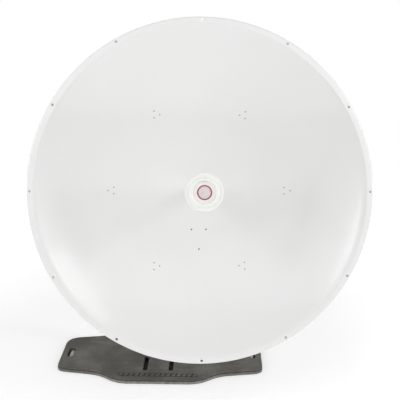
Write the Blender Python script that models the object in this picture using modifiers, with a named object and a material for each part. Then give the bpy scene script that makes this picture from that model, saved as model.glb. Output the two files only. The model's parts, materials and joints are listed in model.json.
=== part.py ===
"""Microwave dish antenna on a pole stand.

A solid parabolic reflector with a feed head at its focus is carried by a ring and two rails.
These tilt between two ears, the ears stand on a clamp that turns round a short pole, and the
pole stands on a moulded foot plate.

Metres, +Z up. The origin is on the ground under the pole's axis. The dish looks along -Y,
raised by ELEVATION, and X is to the right of someone who looks into the dish.
"""
from math import atan, cos, pi, radians, sin

import bmesh
import bpy

GAP = 0.0003                     # between pieces that touch

# Foot plate: a long plate that widens to a bulge in the middle
FOOT_TURN = radians(-4.7)        # of the foot, seen from above, against the dish
FOOT_LENGTH = 0.880
FOOT_END_DEPTH = 0.266
FOOT_SHOULDER_X = 0.255
FOOT_SHOULDER_DEPTH = 0.324
FOOT_BULGE_X = 0.170
FOOT_BULGE_DEPTH = 0.453
FOOT_THICKNESS = 0.020
FOOT_CORNER = 0.034
FOOT_BACK_CORNER = 0.056
FOOT_EASE = 0.045                # of the shoulders and the bulge
FOOT_EDGE = 0.004
FOOT_SLOT_SHIFT = -0.005         # of the two slots' middle from the pole
FOOT_SLOT_X = 0.0546
FOOT_SLOT_WIDTH = 0.019
FOOT_SLOT_LENGTH = 0.296
HANDLE_X = 0.399
HANDLE_WIDTH = 0.028
HANDLE_LENGTH = 0.072
HANDLE_CORNER = 0.008

# Pole and its socket
FLANGE_SIZE = (0.170, 0.100, 0.010)
SOCKET_WALL = 0.007
SOCKET_HEIGHT = 0.110
RIB_THICKNESS = 0.008
POLE_RADIUS = 0.038
POLE_TOP = 1.007
CAP_RADIUS = 0.0405
CAP_HEIGHT = 0.018

# Tilt axis, in the world
PIVOT_HEIGHT = 0.800
PIVOT_FORWARD = 0.108            # of the pole's axis
DISH_X = 0.153                   # from the pole's axis to the dish's
ELEVATION = radians(15)
LOWEST = radians(-5)
HIGHEST = radians(30)

# Clamp round the pole, measured from the pole's axis at the tilt axis's height
CLAMP_Z = 0.155                  # of the saddles, above and below
SADDLE_HEIGHT = 0.040
SADDLE_HALF = 0.072
SADDLE_BACK = 0.0631             # its flat face, from the pole's axis
SADDLE_WING = 0.050
HORN_X = 0.030
PLATE_THICKNESS = 0.008
PLATE_HALF = 0.075
PLATE_WAIST = 0.038
PLATE_TOP = 0.180
CLAMP_BOLT_X = 0.056
BEAM_DEPTH = 0.030
BEAM_TALL = 0.040
BEAM_Z = 0.110
BEAM_LEFT = -0.075
BEAM_RIGHT = 0.290

# Rails, lugs and ears, measured across from the dish's axis
RAIL_X = 0.085
RAIL_WIDTH = 0.030
RAIL_DEPTH = 0.030
RAIL_BACK = 0.036                # behind the dish's vertex
RAIL_HALF = 0.320
LUG_THICKNESS = 0.008
EAR_THICKNESS = 0.008
EAR_CLEARANCE = 0.006
EAR_FRONT = 0.036                # from the tilt axis
PIVOT_BEHIND = 0.105             # of the dish's vertex
PIVOT_RADIUS = 0.008
LOCK_RADIUS = 0.006
LOCK_ARM = 0.065                 # from the tilt axis to the lock bolts
HOLE_PLAY = 0.0006

# Reflector, feed and hub, measured along the dish's axis from its vertex
FOCAL = 0.376
APERTURE = 0.588
FLANGE_RADIUS = 0.6065
LIP_RADIUS = 0.6115
LIP_DEPTH = 0.011
SHEET = 0.002
REFLECTOR_CLOCK = radians(1)     # clockwise, seen from the front
RIM_HOLE_CIRCLE = 0.600
RIM_HOLE_RADIUS = 0.0045
RIM_HOLES = 12
SMALL_HOLE_RADIUS = 0.003
SMALL_HOLES = ((-0.0273, -0.149), (0.0273, -0.149), (0, -0.2223))    # below the feed, across and up
CENTRE_BORE = 0.0205
TUBE_RADIUS = 0.018
TUBE_BACK = -0.045
CONE_BACK = 0.300
HEAD_BACK = 0.350
HEAD_RADIUS = 0.065
HEAD_THICKNESS = 0.018
BEAD_RADIUS = 0.0455             # of the raised bead's crest
BEAD_HEIGHT = 0.0086
CAP_FACE_RADIUS = 0.0365         # of the face inside the bead
CAP_FACE_HEIGHT = 0.0045
LABEL_RADIUS = 0.0245
LABEL_THICKNESS = 0.001
HUB_RADIUS = 0.060
HUB_NECK = 0.050
HUB_FLANGE = 0.065
HUB_REAR = 0.075
HUB_FLANGE_THICKNESS = 0.012
HUB_PLATE_HALF = 0.075
HUB_PLATE_THICKNESS = 0.006
RING_RADIUS = 0.325
RING_WIDTH = 0.030
RING_BACK = 0.0057
RING_DEPTH = 0.030
RING_FEET = 6
FOOT_PAD = 0.044
FOOT_PAD_THICKNESS = 0.004
FOOT_LEG = 0.024
FOOT_WIDE = 0.040

for old in list(bpy.data.objects):
    bpy.data.objects.remove(old)

parts = bpy.data.collections.new("microwave_dish_antenna")
cutters = bpy.data.collections.new("cutters")
bpy.context.scene.collection.children.link(parts)
bpy.context.scene.collection.children.link(cutters)


def finish(name, rgb, roughness, metallic=0.0):
    """A plain Principled material."""
    made = bpy.data.materials.new(name)
    made.use_nodes = True
    shader = made.node_tree.nodes["Principled BSDF"]
    shader.inputs["Base Color"].default_value = (*rgb, 1)
    shader.inputs["Roughness"].default_value = roughness
    shader.inputs["Metallic"].default_value = metallic
    return made


WHITE = finish("white_paint", (0.80, 0.80, 0.79), 0.30)
CREAM = finish("cream_plastic", (0.82, 0.81, 0.77), 0.40)
LABEL = finish("label", (0.78, 0.76, 0.76), 0.45)
ZINC = finish("galvanised_steel", (0.52, 0.54, 0.55), 0.45, 0.9)
BRIGHT = finish("bright_steel", (0.62, 0.62, 0.60), 0.35, 1.0)
ALLOY = finish("cast_alloy", (0.60, 0.61, 0.62), 0.50, 0.8)
RECYCLED = finish("recycled_plastic", (0.15, 0.14, 0.12), 0.75)
BLACK = finish("black_plastic", (0.03, 0.03, 0.03), 0.50)


def empty(name, location, rotation=(0, 0, 0)):
    """A frame that pieces hang from."""
    made = bpy.data.objects.new(name, None)
    made.location = location
    made.rotation_euler = rotation
    parts.objects.link(made)
    return made


def place(name, mesh, material, parent, location=(0, 0, 0), rotation=(0, 0, 0)):
    """An object for a mesh, in the parts collection, or in the cutters' where it has no material."""
    made = bpy.data.objects.new(name, mesh)
    made.parent = parent
    made.location = location
    made.rotation_euler = rotation
    if material:
        mesh.materials.append(material)
        parts.objects.link(made)
    else:
        made.hide_render = True
        made.display_type = "WIRE"
        cutters.objects.link(made)
    return made


def box(name, low, high, material, parent=None):
    """A box from its lowest to its highest corner, in its parent's frame."""
    size = [b - a for a, b in zip(low, high)]
    centre = [(a + b) / 2 for a, b in zip(low, high)]
    mesh = bpy.data.meshes.new(name)
    form = bmesh.new()
    bmesh.ops.create_cube(form, size=1)
    bmesh.ops.scale(form, vec=size, verts=form.verts)
    form.to_mesh(mesh)
    form.free()
    return place(name, mesh, material, parent, centre)


def turned(name, profile, material, parent=None, location=(0, 0, 0), rotation=(0, 0, 0),
           segments=32, ring=False):
    """A profile of (radius, height), down its outer side, turned about Z. A ring's profile closes on itself."""
    mesh = bpy.data.meshes.new(name)
    count = len(profile)
    edges = [(i, (i + 1) % count) for i in range(count if ring else count - 1)]
    mesh.from_pydata([(radius, 0, height) for radius, height in profile], edges, [])
    made = place(name, mesh, material, parent, location, rotation)
    turn = made.modifiers.new("turn", "SCREW")
    turn.steps = turn.render_steps = segments
    turn.use_merge_vertices = True
    turn.merge_threshold = 0.00005
    turn.use_smooth_shade = False
    return made


def flat(name, outline, thickness, material, parent=None, location=(0, 0, 0), rotation=(0, 0, 0)):
    """A flat outline in X and Y, filled and given its thickness along Z, half to each side."""
    curve = bpy.data.curves.new(name, "CURVE")
    curve.dimensions = "2D"
    curve.fill_mode = "BOTH"
    curve.extrude = thickness / 2
    line = curve.splines.new("POLY")
    line.points.add(len(outline) - 1)
    for point, (x, y) in zip(line.points, outline):
        point.co = (x, y, 0, 1)
    line.use_cyclic_u = True
    drawn = bpy.data.objects.new(name + "_outline", curve)
    bpy.context.scene.collection.objects.link(drawn)
    evaluated = drawn.evaluated_get(bpy.context.evaluated_depsgraph_get())
    mesh = bpy.data.meshes.new_from_object(evaluated)
    bpy.data.objects.remove(drawn)
    form = bmesh.new()
    form.from_mesh(mesh)
    bmesh.ops.remove_doubles(form, verts=form.verts, dist=0.00001)
    bmesh.ops.recalc_face_normals(form, faces=form.faces)
    form.to_mesh(mesh)
    form.free()
    return place(name, mesh, material, parent, location, rotation)


def cut(piece, cutter):
    """Takes the cutter out of the piece."""
    hole = piece.modifiers.new("cut", "BOOLEAN")
    hole.operation = "DIFFERENCE"
    hole.solver = "EXACT"
    hole.object = cutter


def soften(piece, width, segments=2):
    """Rounds the piece's sharp edges."""
    edge = piece.modifiers.new("edges", "BEVEL")
    edge.width = width
    edge.segments = segments
    edge.limit_method = "ANGLE"
    edge.angle_limit = radians(40)


def drill(piece, spots, radius, length, parent, rotation=(0, 0, 0), sides=12):
    """Drills round holes at spots in the parent's frame."""
    for number, spot in enumerate(spots, 1):
        mesh = bpy.data.meshes.new(f"{piece.name}_drill_{number}")
        form = bmesh.new()
        bmesh.ops.create_cone(form, cap_ends=True, segments=sides, radius1=radius, radius2=radius, depth=length)
        form.to_mesh(mesh)
        form.free()
        cut(piece, place(mesh.name, mesh, None, parent, spot, rotation))


def arc(centre, radius, start, end, steps):
    """Points on an arc, both ends included."""
    angles = [start + (end - start) * i / steps for i in range(steps + 1)]
    return [(centre[0] + radius * cos(a), centre[1] + radius * sin(a)) for a in angles]


def rounded(corners, radii, steps=4):
    """An outline with each corner replaced by a round that starts its radius before it."""
    outline = []
    for i, ((x, y), radius) in enumerate(zip(corners, radii)):
        before = corners[i - 1]
        after = corners[(i + 1) % len(corners)]
        ends = []
        for px, py in (before, after):
            length = ((px - x) ** 2 + (py - y) ** 2) ** 0.5
            ends.append((x + (px - x) * radius / length, y + (py - y) * radius / length))
        for step in range(steps + 1):
            t = step / steps
            outline.append(tuple((1 - t) ** 2 * a + 2 * t * (1 - t) * c + t ** 2 * b
                                 for a, c, b in zip(ends[0], (x, y), ends[1])))
    return outline


def slot_outline(length, width, steps=6):
    """A slot along Y with round ends."""
    reach = (length - width) / 2
    return arc((0, reach), width / 2, 0, pi, steps) + arc((0, -reach), width / 2, pi, 2 * pi, steps)


def clock(number, count):
    """The angle of one of a ring of like pieces, anticlockwise from +X, in the dish's own plane."""
    return pi / 2 - REFLECTOR_CLOCK - 2 * pi * number / count


def bowl(radius, depth=0.0):
    """The point of the bowl's face at a radius, or the one that lies `depth` behind it."""
    slope = atan(radius / (2 * FOCAL))
    return radius + depth * sin(slope), radius ** 2 / (4 * FOCAL) - depth * cos(slope)


UPRIGHT = (pi / 2, 0, pi / 2)    # turns an outline in X and Y into Y and Z
ALONG_X = (0, pi / 2, 0)
ALONG_Y = (-pi / 2, 0, 0)
SIDES = (("left", -1), ("right", 1))

foot_frame = empty("foot_frame", (0, 0, 0), (0, 0, FOOT_TURN))
pan_axis = empty("pan_axis", (0, 0, PIVOT_HEIGHT))
tilt_axis = empty("tilt_axis", (DISH_X, -PIVOT_FORWARD, PIVOT_HEIGHT), (pi / 2 - ELEVATION, 0, 0))
VERTEX = (0, 0, PIVOT_BEHIND)    # the dish's vertex in the tilt axis's frame


def foot_plate():
    """The moulded plate, with two slots for the pole's flange and a handle hole at each end."""
    half = FOOT_LENGTH / 2
    quarter = [(half, FOOT_END_DEPTH / 2), (FOOT_SHOULDER_X, FOOT_SHOULDER_DEPTH / 2),
               (FOOT_BULGE_X, FOOT_BULGE_DEPTH / 2)]
    back = quarter + [(-x, y) for x, y in reversed(quarter)]
    corners = back + [(-x, -y) for x, y in back]
    ease = [FOOT_EASE] * 4
    radii = [FOOT_BACK_CORNER] + ease + [FOOT_BACK_CORNER, FOOT_CORNER] + ease + [FOOT_CORNER]
    outline = rounded(corners, radii)
    plate = flat("foot_plate", outline, FOOT_THICKNESS, RECYCLED, foot_frame, (0, 0, FOOT_THICKNESS / 2))
    slot = slot_outline(FOOT_SLOT_LENGTH, FOOT_SLOT_WIDTH)
    reach_x, reach_y = HANDLE_WIDTH / 2, HANDLE_LENGTH / 2
    handle = rounded([(reach_x, reach_y), (-reach_x, reach_y), (-reach_x, -reach_y), (reach_x, -reach_y)],
                     [HANDLE_CORNER] * 4, 2)
    for side, sign in SIDES:
        slot_x = FOOT_SLOT_SHIFT + sign * FOOT_SLOT_X
        for kind, shape, x in (("slot", slot, slot_x), ("handle", handle, sign * HANDLE_X)):
            cut(plate, flat(f"{side}_{kind}_cutter", shape, 3 * FOOT_THICKNESS, None, foot_frame,
                            (x, 0, FOOT_THICKNESS / 2)))
    soften(plate, FOOT_EDGE)


def pole_stand():
    """The flange over the slots, the ribbed socket on it, and the pole with its cap."""
    flange_low = FOOT_THICKNESS + GAP
    flange_top = flange_low + FLANGE_SIZE[2]
    half_x, half_y = FLANGE_SIZE[0] / 2, FLANGE_SIZE[1] / 2
    box("socket_flange", (-half_x, -half_y, flange_low), (half_x, half_y, flange_top), ZINC, foot_frame)
    inner = POLE_RADIUS + GAP
    outer = inner + SOCKET_WALL
    low = flange_top + GAP
    high = low + SOCKET_HEIGHT
    turned("pole_socket", [(inner, high), (outer, high), (outer, low), (inner, low)], ZINC, foot_frame,
           segments=40, ring=True)
    near, far = outer + GAP, half_x - 0.004
    rib = [(near, low), (far, low), (far, low + 0.012), (near + 0.006, high - 0.008), (near, high - 0.008)]
    for side, sign in SIDES:
        turn = 0 if sign > 0 else pi
        flat(f"{side}_rib", rib, RIB_THICKNESS, ZINC, foot_frame, rotation=(pi / 2, 0, turn))
    turned("stand_pole", [(0, POLE_TOP), (POLE_RADIUS, POLE_TOP), (POLE_RADIUS, low), (0, low)], ZINC,
           foot_frame, segments=40)
    base = POLE_TOP + GAP
    dome = [(0, base + CAP_HEIGHT), (0.022, base + CAP_HEIGHT - 0.001), (0.034, base + CAP_HEIGHT - 0.005),
            (CAP_RADIUS, base + CAP_HEIGHT - 0.012), (CAP_RADIUS, base), (0, base)]
    turned("pole_cap", dome, BLACK, foot_frame, segments=40)


def bolt(name, stations, material, parent, location, rotation, segments=12):
    """A bolt as steps of (from, to, radius) along its length."""
    profile = [(0, stations[-1][1])]
    for start, end, radius in reversed(stations):
        profile += [(radius, end), (radius, start)]
    profile.append((0, stations[0][0]))
    return turned(name, profile, material, parent, location, rotation, segments)


def clamp():
    """The waisted plate in front of the pole, its two saddles, and the jaws bolted behind the pole."""
    front = SADDLE_BACK + GAP + PLATE_THICKNESS
    middle = front - PLATE_THICKNESS / 2
    waist = BEAM_Z - BEAM_TALL / 2 - 0.004
    right = [(PLATE_HALF, -PLATE_TOP), (PLATE_HALF, -waist - 0.004), (PLATE_WAIST, -waist + 0.010),
             (PLATE_WAIST, waist - 0.010), (PLATE_HALF, waist + 0.004), (PLATE_HALF, PLATE_TOP)]
    outline = right + [(-x, z) for x, z in reversed(right)]
    plate = flat("pan_plate", outline, PLATE_THICKNESS, ZINC, pan_axis, (0, -middle, 0), (pi / 2, 0, 0))
    spots = [(x, z) for z in (CLAMP_Z, -CLAMP_Z) for x in (-CLAMP_BOLT_X, CLAMP_BOLT_X)]
    play = LOCK_RADIUS + HOLE_PLAY
    drill(plate, [(x, -middle, z) for x, z in spots], play, 3 * PLATE_THICKNESS, pan_axis, ALONG_Y)
    root = (POLE_RADIUS + GAP) * 2 ** 0.5
    horn = root - HORN_X
    half = [(SADDLE_HALF, -SADDLE_BACK), (SADDLE_HALF, -SADDLE_WING), (HORN_X + 0.012, -SADDLE_WING),
            (HORN_X + 0.006, -horn), (HORN_X, -horn)]
    outline = half + [(0, -root)] + [(-x, y) for x, y in reversed(half)]
    wing = (SADDLE_BACK + SADDLE_WING) / 2
    for level, z in (("upper", CLAMP_Z), ("lower", -CLAMP_Z)):
        for kind, turn, side in (("saddle", 0, -1), ("jaw", pi, 1)):
            block = flat(f"{level}_{kind}", outline, SADDLE_HEIGHT, ALLOY, pan_axis, (0, 0, z), (0, 0, turn))
            drill(block, [(x, side * wing, z) for x in (-CLAMP_BOLT_X, CLAMP_BOLT_X)], play,
                  3 * PLATE_THICKNESS, pan_axis, ALONG_Y)
    stations = [(-front - GAP - 0.0075, -front - GAP, 0.0105), (-front - GAP, SADDLE_BACK + GAP, LOCK_RADIUS),
                (SADDLE_BACK + GAP, SADDLE_BACK + GAP + 0.010, 0.0105),
                (SADDLE_BACK + GAP + 0.010, SADDLE_BACK + 0.022, LOCK_RADIUS)]
    for number, (x, z) in enumerate(spots, 1):
        bolt(f"clamp_bolt_{number}", stations, BRIGHT, pan_axis, (x, 0, z), ALONG_Y)
    return front


def tilt_frame(plate_front):
    """Two beams that reach out in front of the plate, and the two ears between them."""
    near = plate_front + GAP
    far = near + BEAM_DEPTH
    for level, z in (("upper", BEAM_Z), ("lower", -BEAM_Z)):
        box(f"{level}_beam", (BEAM_LEFT, -far, z - BEAM_TALL / 2), (BEAM_RIGHT, -near, z + BEAM_TALL / 2),
            ZINC, pan_axis)
    top = BEAM_Z - BEAM_TALL / 2 - GAP
    back = PIVOT_FORWARD - near
    outline = [(back, -top), (back, top), (-EAR_FRONT + 0.014, top), (-EAR_FRONT, top - 0.014),
               (-EAR_FRONT, -0.030), (-EAR_FRONT + 0.020, -0.052), (PIVOT_FORWARD - far, -top)]
    outline.reverse()
    slot_half = LOCK_RADIUS + HOLE_PLAY
    swing = (HIGHEST - LOWEST) / 2
    slot = arc((0, 0), LOCK_ARM + slot_half, pi / 2 - swing, pi / 2 + swing, 8)
    slot += arc(spot_on_arc(pi / 2 + swing), slot_half, pi / 2 + swing, 3 * pi / 2 + swing, 6)[1:]
    slot += arc((0, 0), LOCK_ARM - slot_half, pi / 2 + swing, pi / 2 - swing, 8)[1:]
    slot += arc(spot_on_arc(pi / 2 - swing), slot_half, -pi / 2 - swing, pi / 2 - swing, 6)[1:-1]
    for side, sign in SIDES:
        across = DISH_X + sign * (EAR_INNER + EAR_THICKNESS / 2)
        ear = flat(f"{side}_ear", outline, EAR_THICKNESS, ZINC, pan_axis, (across, -PIVOT_FORWARD, 0), UPRIGHT)
        cut(ear, flat(f"{side}_ear_slot_cutter", slot, 3 * EAR_THICKNESS, None, pan_axis,
                      (across, -PIVOT_FORWARD, 0), UPRIGHT))
        drill(ear, [(across, -PIVOT_FORWARD, 0)], PIVOT_RADIUS + HOLE_PLAY, 3 * EAR_THICKNESS, pan_axis,
              ALONG_X, 20)


def spot_on_arc(angle):
    """The middle of an arc slot's end."""
    return LOCK_ARM * cos(angle), LOCK_ARM * sin(angle)


LUG_INNER = RAIL_X + RAIL_WIDTH / 2 + GAP
LUG_OUTER = LUG_INNER + LUG_THICKNESS
EAR_INNER = LUG_OUTER + EAR_CLEARANCE
EAR_OUTER = EAR_INNER + EAR_THICKNESS
LOCK_LEAN = (HIGHEST + LOWEST) / 2    # puts the lock bolts straight above the pivots at mid-range


def lugs():
    """The lugs on the rails, with the pivots and the lock bolts that join them to the ears."""
    lock = (LOCK_ARM * cos(LOCK_LEAN), LOCK_ARM * sin(LOCK_LEAN))
    rail_back = PIVOT_BEHIND - RAIL_BACK
    rail_front = rail_back + RAIL_DEPTH
    outline = [(-0.075, rail_front), (-0.075, rail_back), (-0.028, 0.005), (-0.022, -0.015), (-0.010, -0.022),
               (0.068, -0.007), (0.077, 0.002), (0.075, 0.040), (0.092, rail_back), (0.092, rail_front)]
    for side, sign in SIDES:
        middle = sign * (LUG_INNER + LUG_THICKNESS / 2)
        lug = flat(f"{side}_lug", outline, LUG_THICKNESS, ZINC, tilt_axis, (middle, 0, 0), UPRIGHT)
        drill(lug, [(middle, 0, 0)], PIVOT_RADIUS + HOLE_PLAY, 3 * LUG_THICKNESS, tilt_axis, ALONG_X, 20)
        drill(lug, [(middle, *lock)], LOCK_RADIUS + HOLE_PLAY, 3 * LUG_THICKNESS, tilt_axis, ALONG_X)
        for kind, radius, collar, head, spot, sides in (("pivot", PIVOT_RADIUS, 0.016, 0.014, (0, 0), 20),
                                                        ("lock_bolt", LOCK_RADIUS, 0.011, 0.0105, lock, 12)):
            stations = [(LUG_INNER - 0.014, LUG_INNER - 0.010, radius),
                        (LUG_INNER - 0.010, LUG_INNER - GAP, head),
                        (LUG_INNER - GAP, LUG_OUTER + GAP, radius),
                        (LUG_OUTER + GAP, EAR_INNER - GAP, collar),
                        (EAR_INNER - GAP, EAR_OUTER + GAP, radius),
                        (EAR_OUTER + GAP, EAR_OUTER + 0.010, head)]
            turn = ALONG_X if sign > 0 else (0, -pi / 2, 0)
            bolt(f"{side}_{kind}", stations, BRIGHT, tilt_axis, (0, *spot), turn, sides)


def reflector():
    """The bowl with its flat flange and the lip rolled back round it, drilled round the rim."""
    radii = [CENTRE_BORE + (APERTURE - CENTRE_BORE) * i / 12 for i in range(13)]
    edge = APERTURE ** 2 / (4 * FOCAL)
    face = [bowl(r) for r in radii]
    face += [(FLANGE_RADIUS, edge), (LIP_RADIUS - 0.001, edge - 0.0015), (LIP_RADIUS, edge - 0.004),
             (LIP_RADIUS, edge - LIP_DEPTH)]
    back = [(LIP_RADIUS - SHEET, edge - LIP_DEPTH), (LIP_RADIUS - SHEET, edge - 0.004),
            (FLANGE_RADIUS, edge - SHEET), (APERTURE + 0.0012, edge - SHEET)]
    back += [bowl(r, SHEET) for r in reversed(radii[:-1])]
    dish = turned("reflector", face + back, WHITE, tilt_axis, VERTEX, segments=64, ring=True)
    spots = [(RIM_HOLE_CIRCLE * cos(clock(k, RIM_HOLES)), RIM_HOLE_CIRCLE * sin(clock(k, RIM_HOLES)),
              PIVOT_BEHIND + edge) for k in range(RIM_HOLES)]
    drill(dish, spots, RIM_HOLE_RADIUS, 6 * SHEET, tilt_axis, sides=8)
    spots = []
    for x, y in SMALL_HOLES:
        across = x * cos(REFLECTOR_CLOCK) + y * sin(REFLECTOR_CLOCK)
        up = y * cos(REFLECTOR_CLOCK) - x * sin(REFLECTOR_CLOCK)
        spots.append((across, up, PIVOT_BEHIND + (x * x + y * y) / (4 * FOCAL)))
    drill(dish, spots, SMALL_HOLE_RADIUS, 6 * SHEET, tilt_axis, sides=8)


def feed():
    """The feed tube through the vertex, the cone that it flares into, and the head: its disc with a
    raised bead, the cap inside the bead, and the label on the cap."""
    turned("feed_tube", [(0, CONE_BACK), (TUBE_RADIUS, CONE_BACK), (TUBE_RADIUS, TUBE_BACK), (0, TUBE_BACK)],
           CREAM, tilt_axis, VERTEX, segments=28)
    flare = [(TUBE_RADIUS + 0.002 + (HEAD_RADIUS - 0.010 - TUBE_RADIUS) * t ** 1.6,
              CONE_BACK + GAP + (HEAD_BACK - GAP - CONE_BACK - GAP) * t) for t in (1, 0.75, 0.5, 0.25, 0)]
    turned("feed_cone", [(0, flare[0][1])] + flare + [(0, flare[-1][1])], CREAM, tilt_axis, VERTEX, segments=36)
    front = HEAD_BACK + HEAD_THICKNESS
    crest = front + BEAD_HEIGHT
    bead = [(-0.008, front), (-0.007, front + 0.004), (-0.003, crest - 0.001), (0, crest),
            (0.003, crest - 0.001), (0.008, front)]
    edge = [(HEAD_RADIUS - 0.002, front - 0.002), (HEAD_RADIUS, front - 0.006), (HEAD_RADIUS, HEAD_BACK)]
    turned("feed_disc", [(0, front)] + [(BEAD_RADIUS + reach, height) for reach, height in bead] + edge
           + [(0, HEAD_BACK)], CREAM, tilt_axis, VERTEX, segments=36)
    face = front + CAP_FACE_HEIGHT
    turned("feed_cap", [(0, face), (CAP_FACE_RADIUS - 0.001, face), (CAP_FACE_RADIUS, face - 0.001),
                        (CAP_FACE_RADIUS, front + GAP), (0, front + GAP)], CREAM, tilt_axis, VERTEX, segments=36)
    turned("feed_label", [(0, face + GAP + LABEL_THICKNESS), (LABEL_RADIUS, face + GAP + LABEL_THICKNESS),
                          (LABEL_RADIUS, face + GAP), (0, face + GAP)], LABEL, tilt_axis, VERTEX, segments=36)


def hub():
    """The hub that holds the feed tube, with the rear flange, and the plate that ties it to the rails."""
    front = -SHEET - GAP - 0.0005
    shoulder = -RAIL_BACK
    plate_back = -RAIL_BACK - GAP - HUB_PLATE_THICKNESS
    bore = TUBE_RADIUS + GAP
    neck = -HUB_REAR + HUB_FLANGE_THICKNESS
    turned("hub", [(0, TUBE_BACK - GAP), (bore, TUBE_BACK - GAP), (bore, front), (HUB_RADIUS, front),
                   (HUB_RADIUS, shoulder), (HUB_NECK, shoulder), (HUB_NECK, neck), (HUB_FLANGE, neck),
                   (HUB_FLANGE, -HUB_REAR), (0, -HUB_REAR)], ALLOY, tilt_axis, VERTEX, segments=36)
    width = RAIL_X + RAIL_WIDTH / 2
    plate = box("hub_plate", (-width, -HUB_PLATE_HALF, PIVOT_BEHIND + plate_back),
                (width, HUB_PLATE_HALF, PIVOT_BEHIND - RAIL_BACK - GAP), ZINC, tilt_axis)
    drill(plate, [(0, 0, PIVOT_BEHIND + plate_back)], HUB_NECK + 2 * GAP, 0.04, tilt_axis, sides=36)


def back_frame():
    """The ring behind the bowl, the six feet that it is riveted to, and the two rails across it."""
    inner = RING_RADIUS - RING_WIDTH / 2
    outer = RING_RADIUS + RING_WIDTH / 2
    high = RING_DEPTH - RING_BACK
    turned("back_ring", [(inner, high), (outer, high), (outer, -RING_BACK), (inner, -RING_BACK)], ZINC,
           tilt_axis, VERTEX, segments=48, ring=True)
    slope = atan(RING_RADIUS / (2 * FOCAL))
    seat = bowl(RING_RADIUS, SHEET + GAP)
    under = bowl(RING_RADIUS, SHEET + GAP + FOOT_PAD_THICKNESS)

    def along(point, distance):
        return point[0] + distance * cos(slope), point[1] + distance * sin(slope)

    low = high + GAP
    leg_in = RING_RADIUS - FOOT_LEG / 2
    leg_out = RING_RADIUS + FOOT_LEG / 2
    outline = [along(seat, FOOT_PAD / 2), along(seat, -FOOT_PAD / 2), along(under, -FOOT_PAD / 2),
               along(under, (leg_in - under[0]) / cos(slope)), (leg_in, low), (leg_out, low),
               along(under, (leg_out - under[0]) / cos(slope)), along(under, FOOT_PAD / 2)]
    for number in range(RING_FEET):
        angle = clock(number + 0.5, RING_FEET)
        flat(f"ring_foot_{number + 1}", outline, FOOT_WIDE, ALLOY, tilt_axis, VERTEX, (pi / 2, 0, angle))
    for side, sign in SIDES:
        x = sign * RAIL_X
        box(f"{side}_rail", (x - RAIL_WIDTH / 2, -RAIL_HALF, PIVOT_BEHIND - RAIL_BACK),
            (x + RAIL_WIDTH / 2, RAIL_HALF, PIVOT_BEHIND - RAIL_BACK + RAIL_DEPTH), ZINC, tilt_axis)


foot_plate()
pole_stand()
tilt_frame(clamp())
lugs()
reflector()
feed()
hub()
back_frame()
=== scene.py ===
"""Looks of a microwave dish antenna on a pole stand.

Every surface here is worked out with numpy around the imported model: turned profiles, plates with
eased corners, sections carried along paths, and sheets over a grid with their holes set in.
Metres, +Z up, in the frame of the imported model.
"""
import json

import bpy
import numpy as np
from mathutils import Matrix


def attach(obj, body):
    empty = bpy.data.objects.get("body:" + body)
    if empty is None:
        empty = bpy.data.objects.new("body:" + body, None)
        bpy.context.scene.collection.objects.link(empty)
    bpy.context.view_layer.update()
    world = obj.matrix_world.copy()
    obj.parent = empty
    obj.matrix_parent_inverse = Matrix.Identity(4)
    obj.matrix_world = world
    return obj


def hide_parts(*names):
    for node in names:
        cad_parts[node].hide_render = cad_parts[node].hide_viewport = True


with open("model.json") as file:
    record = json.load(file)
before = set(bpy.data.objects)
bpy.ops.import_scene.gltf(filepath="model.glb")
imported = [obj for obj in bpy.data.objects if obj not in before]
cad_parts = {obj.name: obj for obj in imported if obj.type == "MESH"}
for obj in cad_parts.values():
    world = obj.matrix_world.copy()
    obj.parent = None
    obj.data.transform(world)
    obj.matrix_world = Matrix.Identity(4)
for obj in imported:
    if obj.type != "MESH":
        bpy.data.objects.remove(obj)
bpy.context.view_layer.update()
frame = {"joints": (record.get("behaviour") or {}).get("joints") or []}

PI = np.pi
FULL_TURN = 2 * PI
STEEP = np.radians(35)            # edges steeper than this stay sharp
AXIS = 0.0002                     # radius at which a turned profile stops short of its axis
GAP = 0.0003                      # between pieces that touch

# Driving dimensions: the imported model's own, but for the flange's fall and a lip 0.3 mm smaller
PIVOT = np.array(next(joint["pos_m"] for joint in frame["joints"] if joint["name"] == "tilt"))
ELEVATION = np.radians(15)
VERTEX_AHEAD = 0.105              # of the tilt axis
FOOT_TURN = np.radians(-4.7)
FOCAL = 0.376
SHEET = 0.002
APERTURE = 0.588                  # radius of the bowl's mouth
FLANGE_RADIUS = 0.6065
FLANGE_FACE = APERTURE ** 2 / (4 * FOCAL)
FLANGE_FALL = 0.12                # how fast the flange falls back towards its lip
LIP_RADIUS = 0.6112
LIP_DEPTH = 0.011
CLOCK = np.radians(1)             # of the reflector, clockwise from the front
CENTRE_BORE = 0.0205


def turn(axis, angle):
    """Rotation matrix: cosine and sine of the angle in the plane of the two other axes."""
    first, second = {"x": (1, 2), "z": (0, 1)}[axis]
    matrix = np.eye(3)
    matrix[[first, second], [first, second]] = np.cos(angle)
    matrix[second, first] = np.sin(angle)
    matrix[first, second] = -np.sin(angle)
    return matrix


STRAIGHT = np.eye(3)
BACKWARDS = turn("x", PI)
SIDEWAYS = np.array([[0.0, 0, 1], [1, 0, 0], [0, 1, 0]])      # x, y, z of a flat piece to y, z, x
LYING = np.array([[0.0, 0, 1], [-1, 0, 0], [0, -1, 0]])       # a bar's z to x

# A place is a rotation and an origin. The dish's z runs along its axis from the vertex, its y up.
TILTED = turn("x", PI / 2 - ELEVATION)
DISH = (TILTED, PIVOT + VERTEX_AHEAD * TILTED[:, 2])
PLACES = {
    "dish": DISH,
    "pan_head": (STRAIGHT, (0, 0, PIVOT[2])),
    "stand": (turn("z", FOOT_TURN), (0, 0, 0)),
}


# Shapes: an array of points and a list of arrays of faces

def moved(shape, rotation, origin=(0, 0, 0)):
    """The shape with each point turned by a rotation and then shifted by an origin."""
    points, faces = shape
    return points @ rotation.T + np.asarray(origin, float), faces


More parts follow.
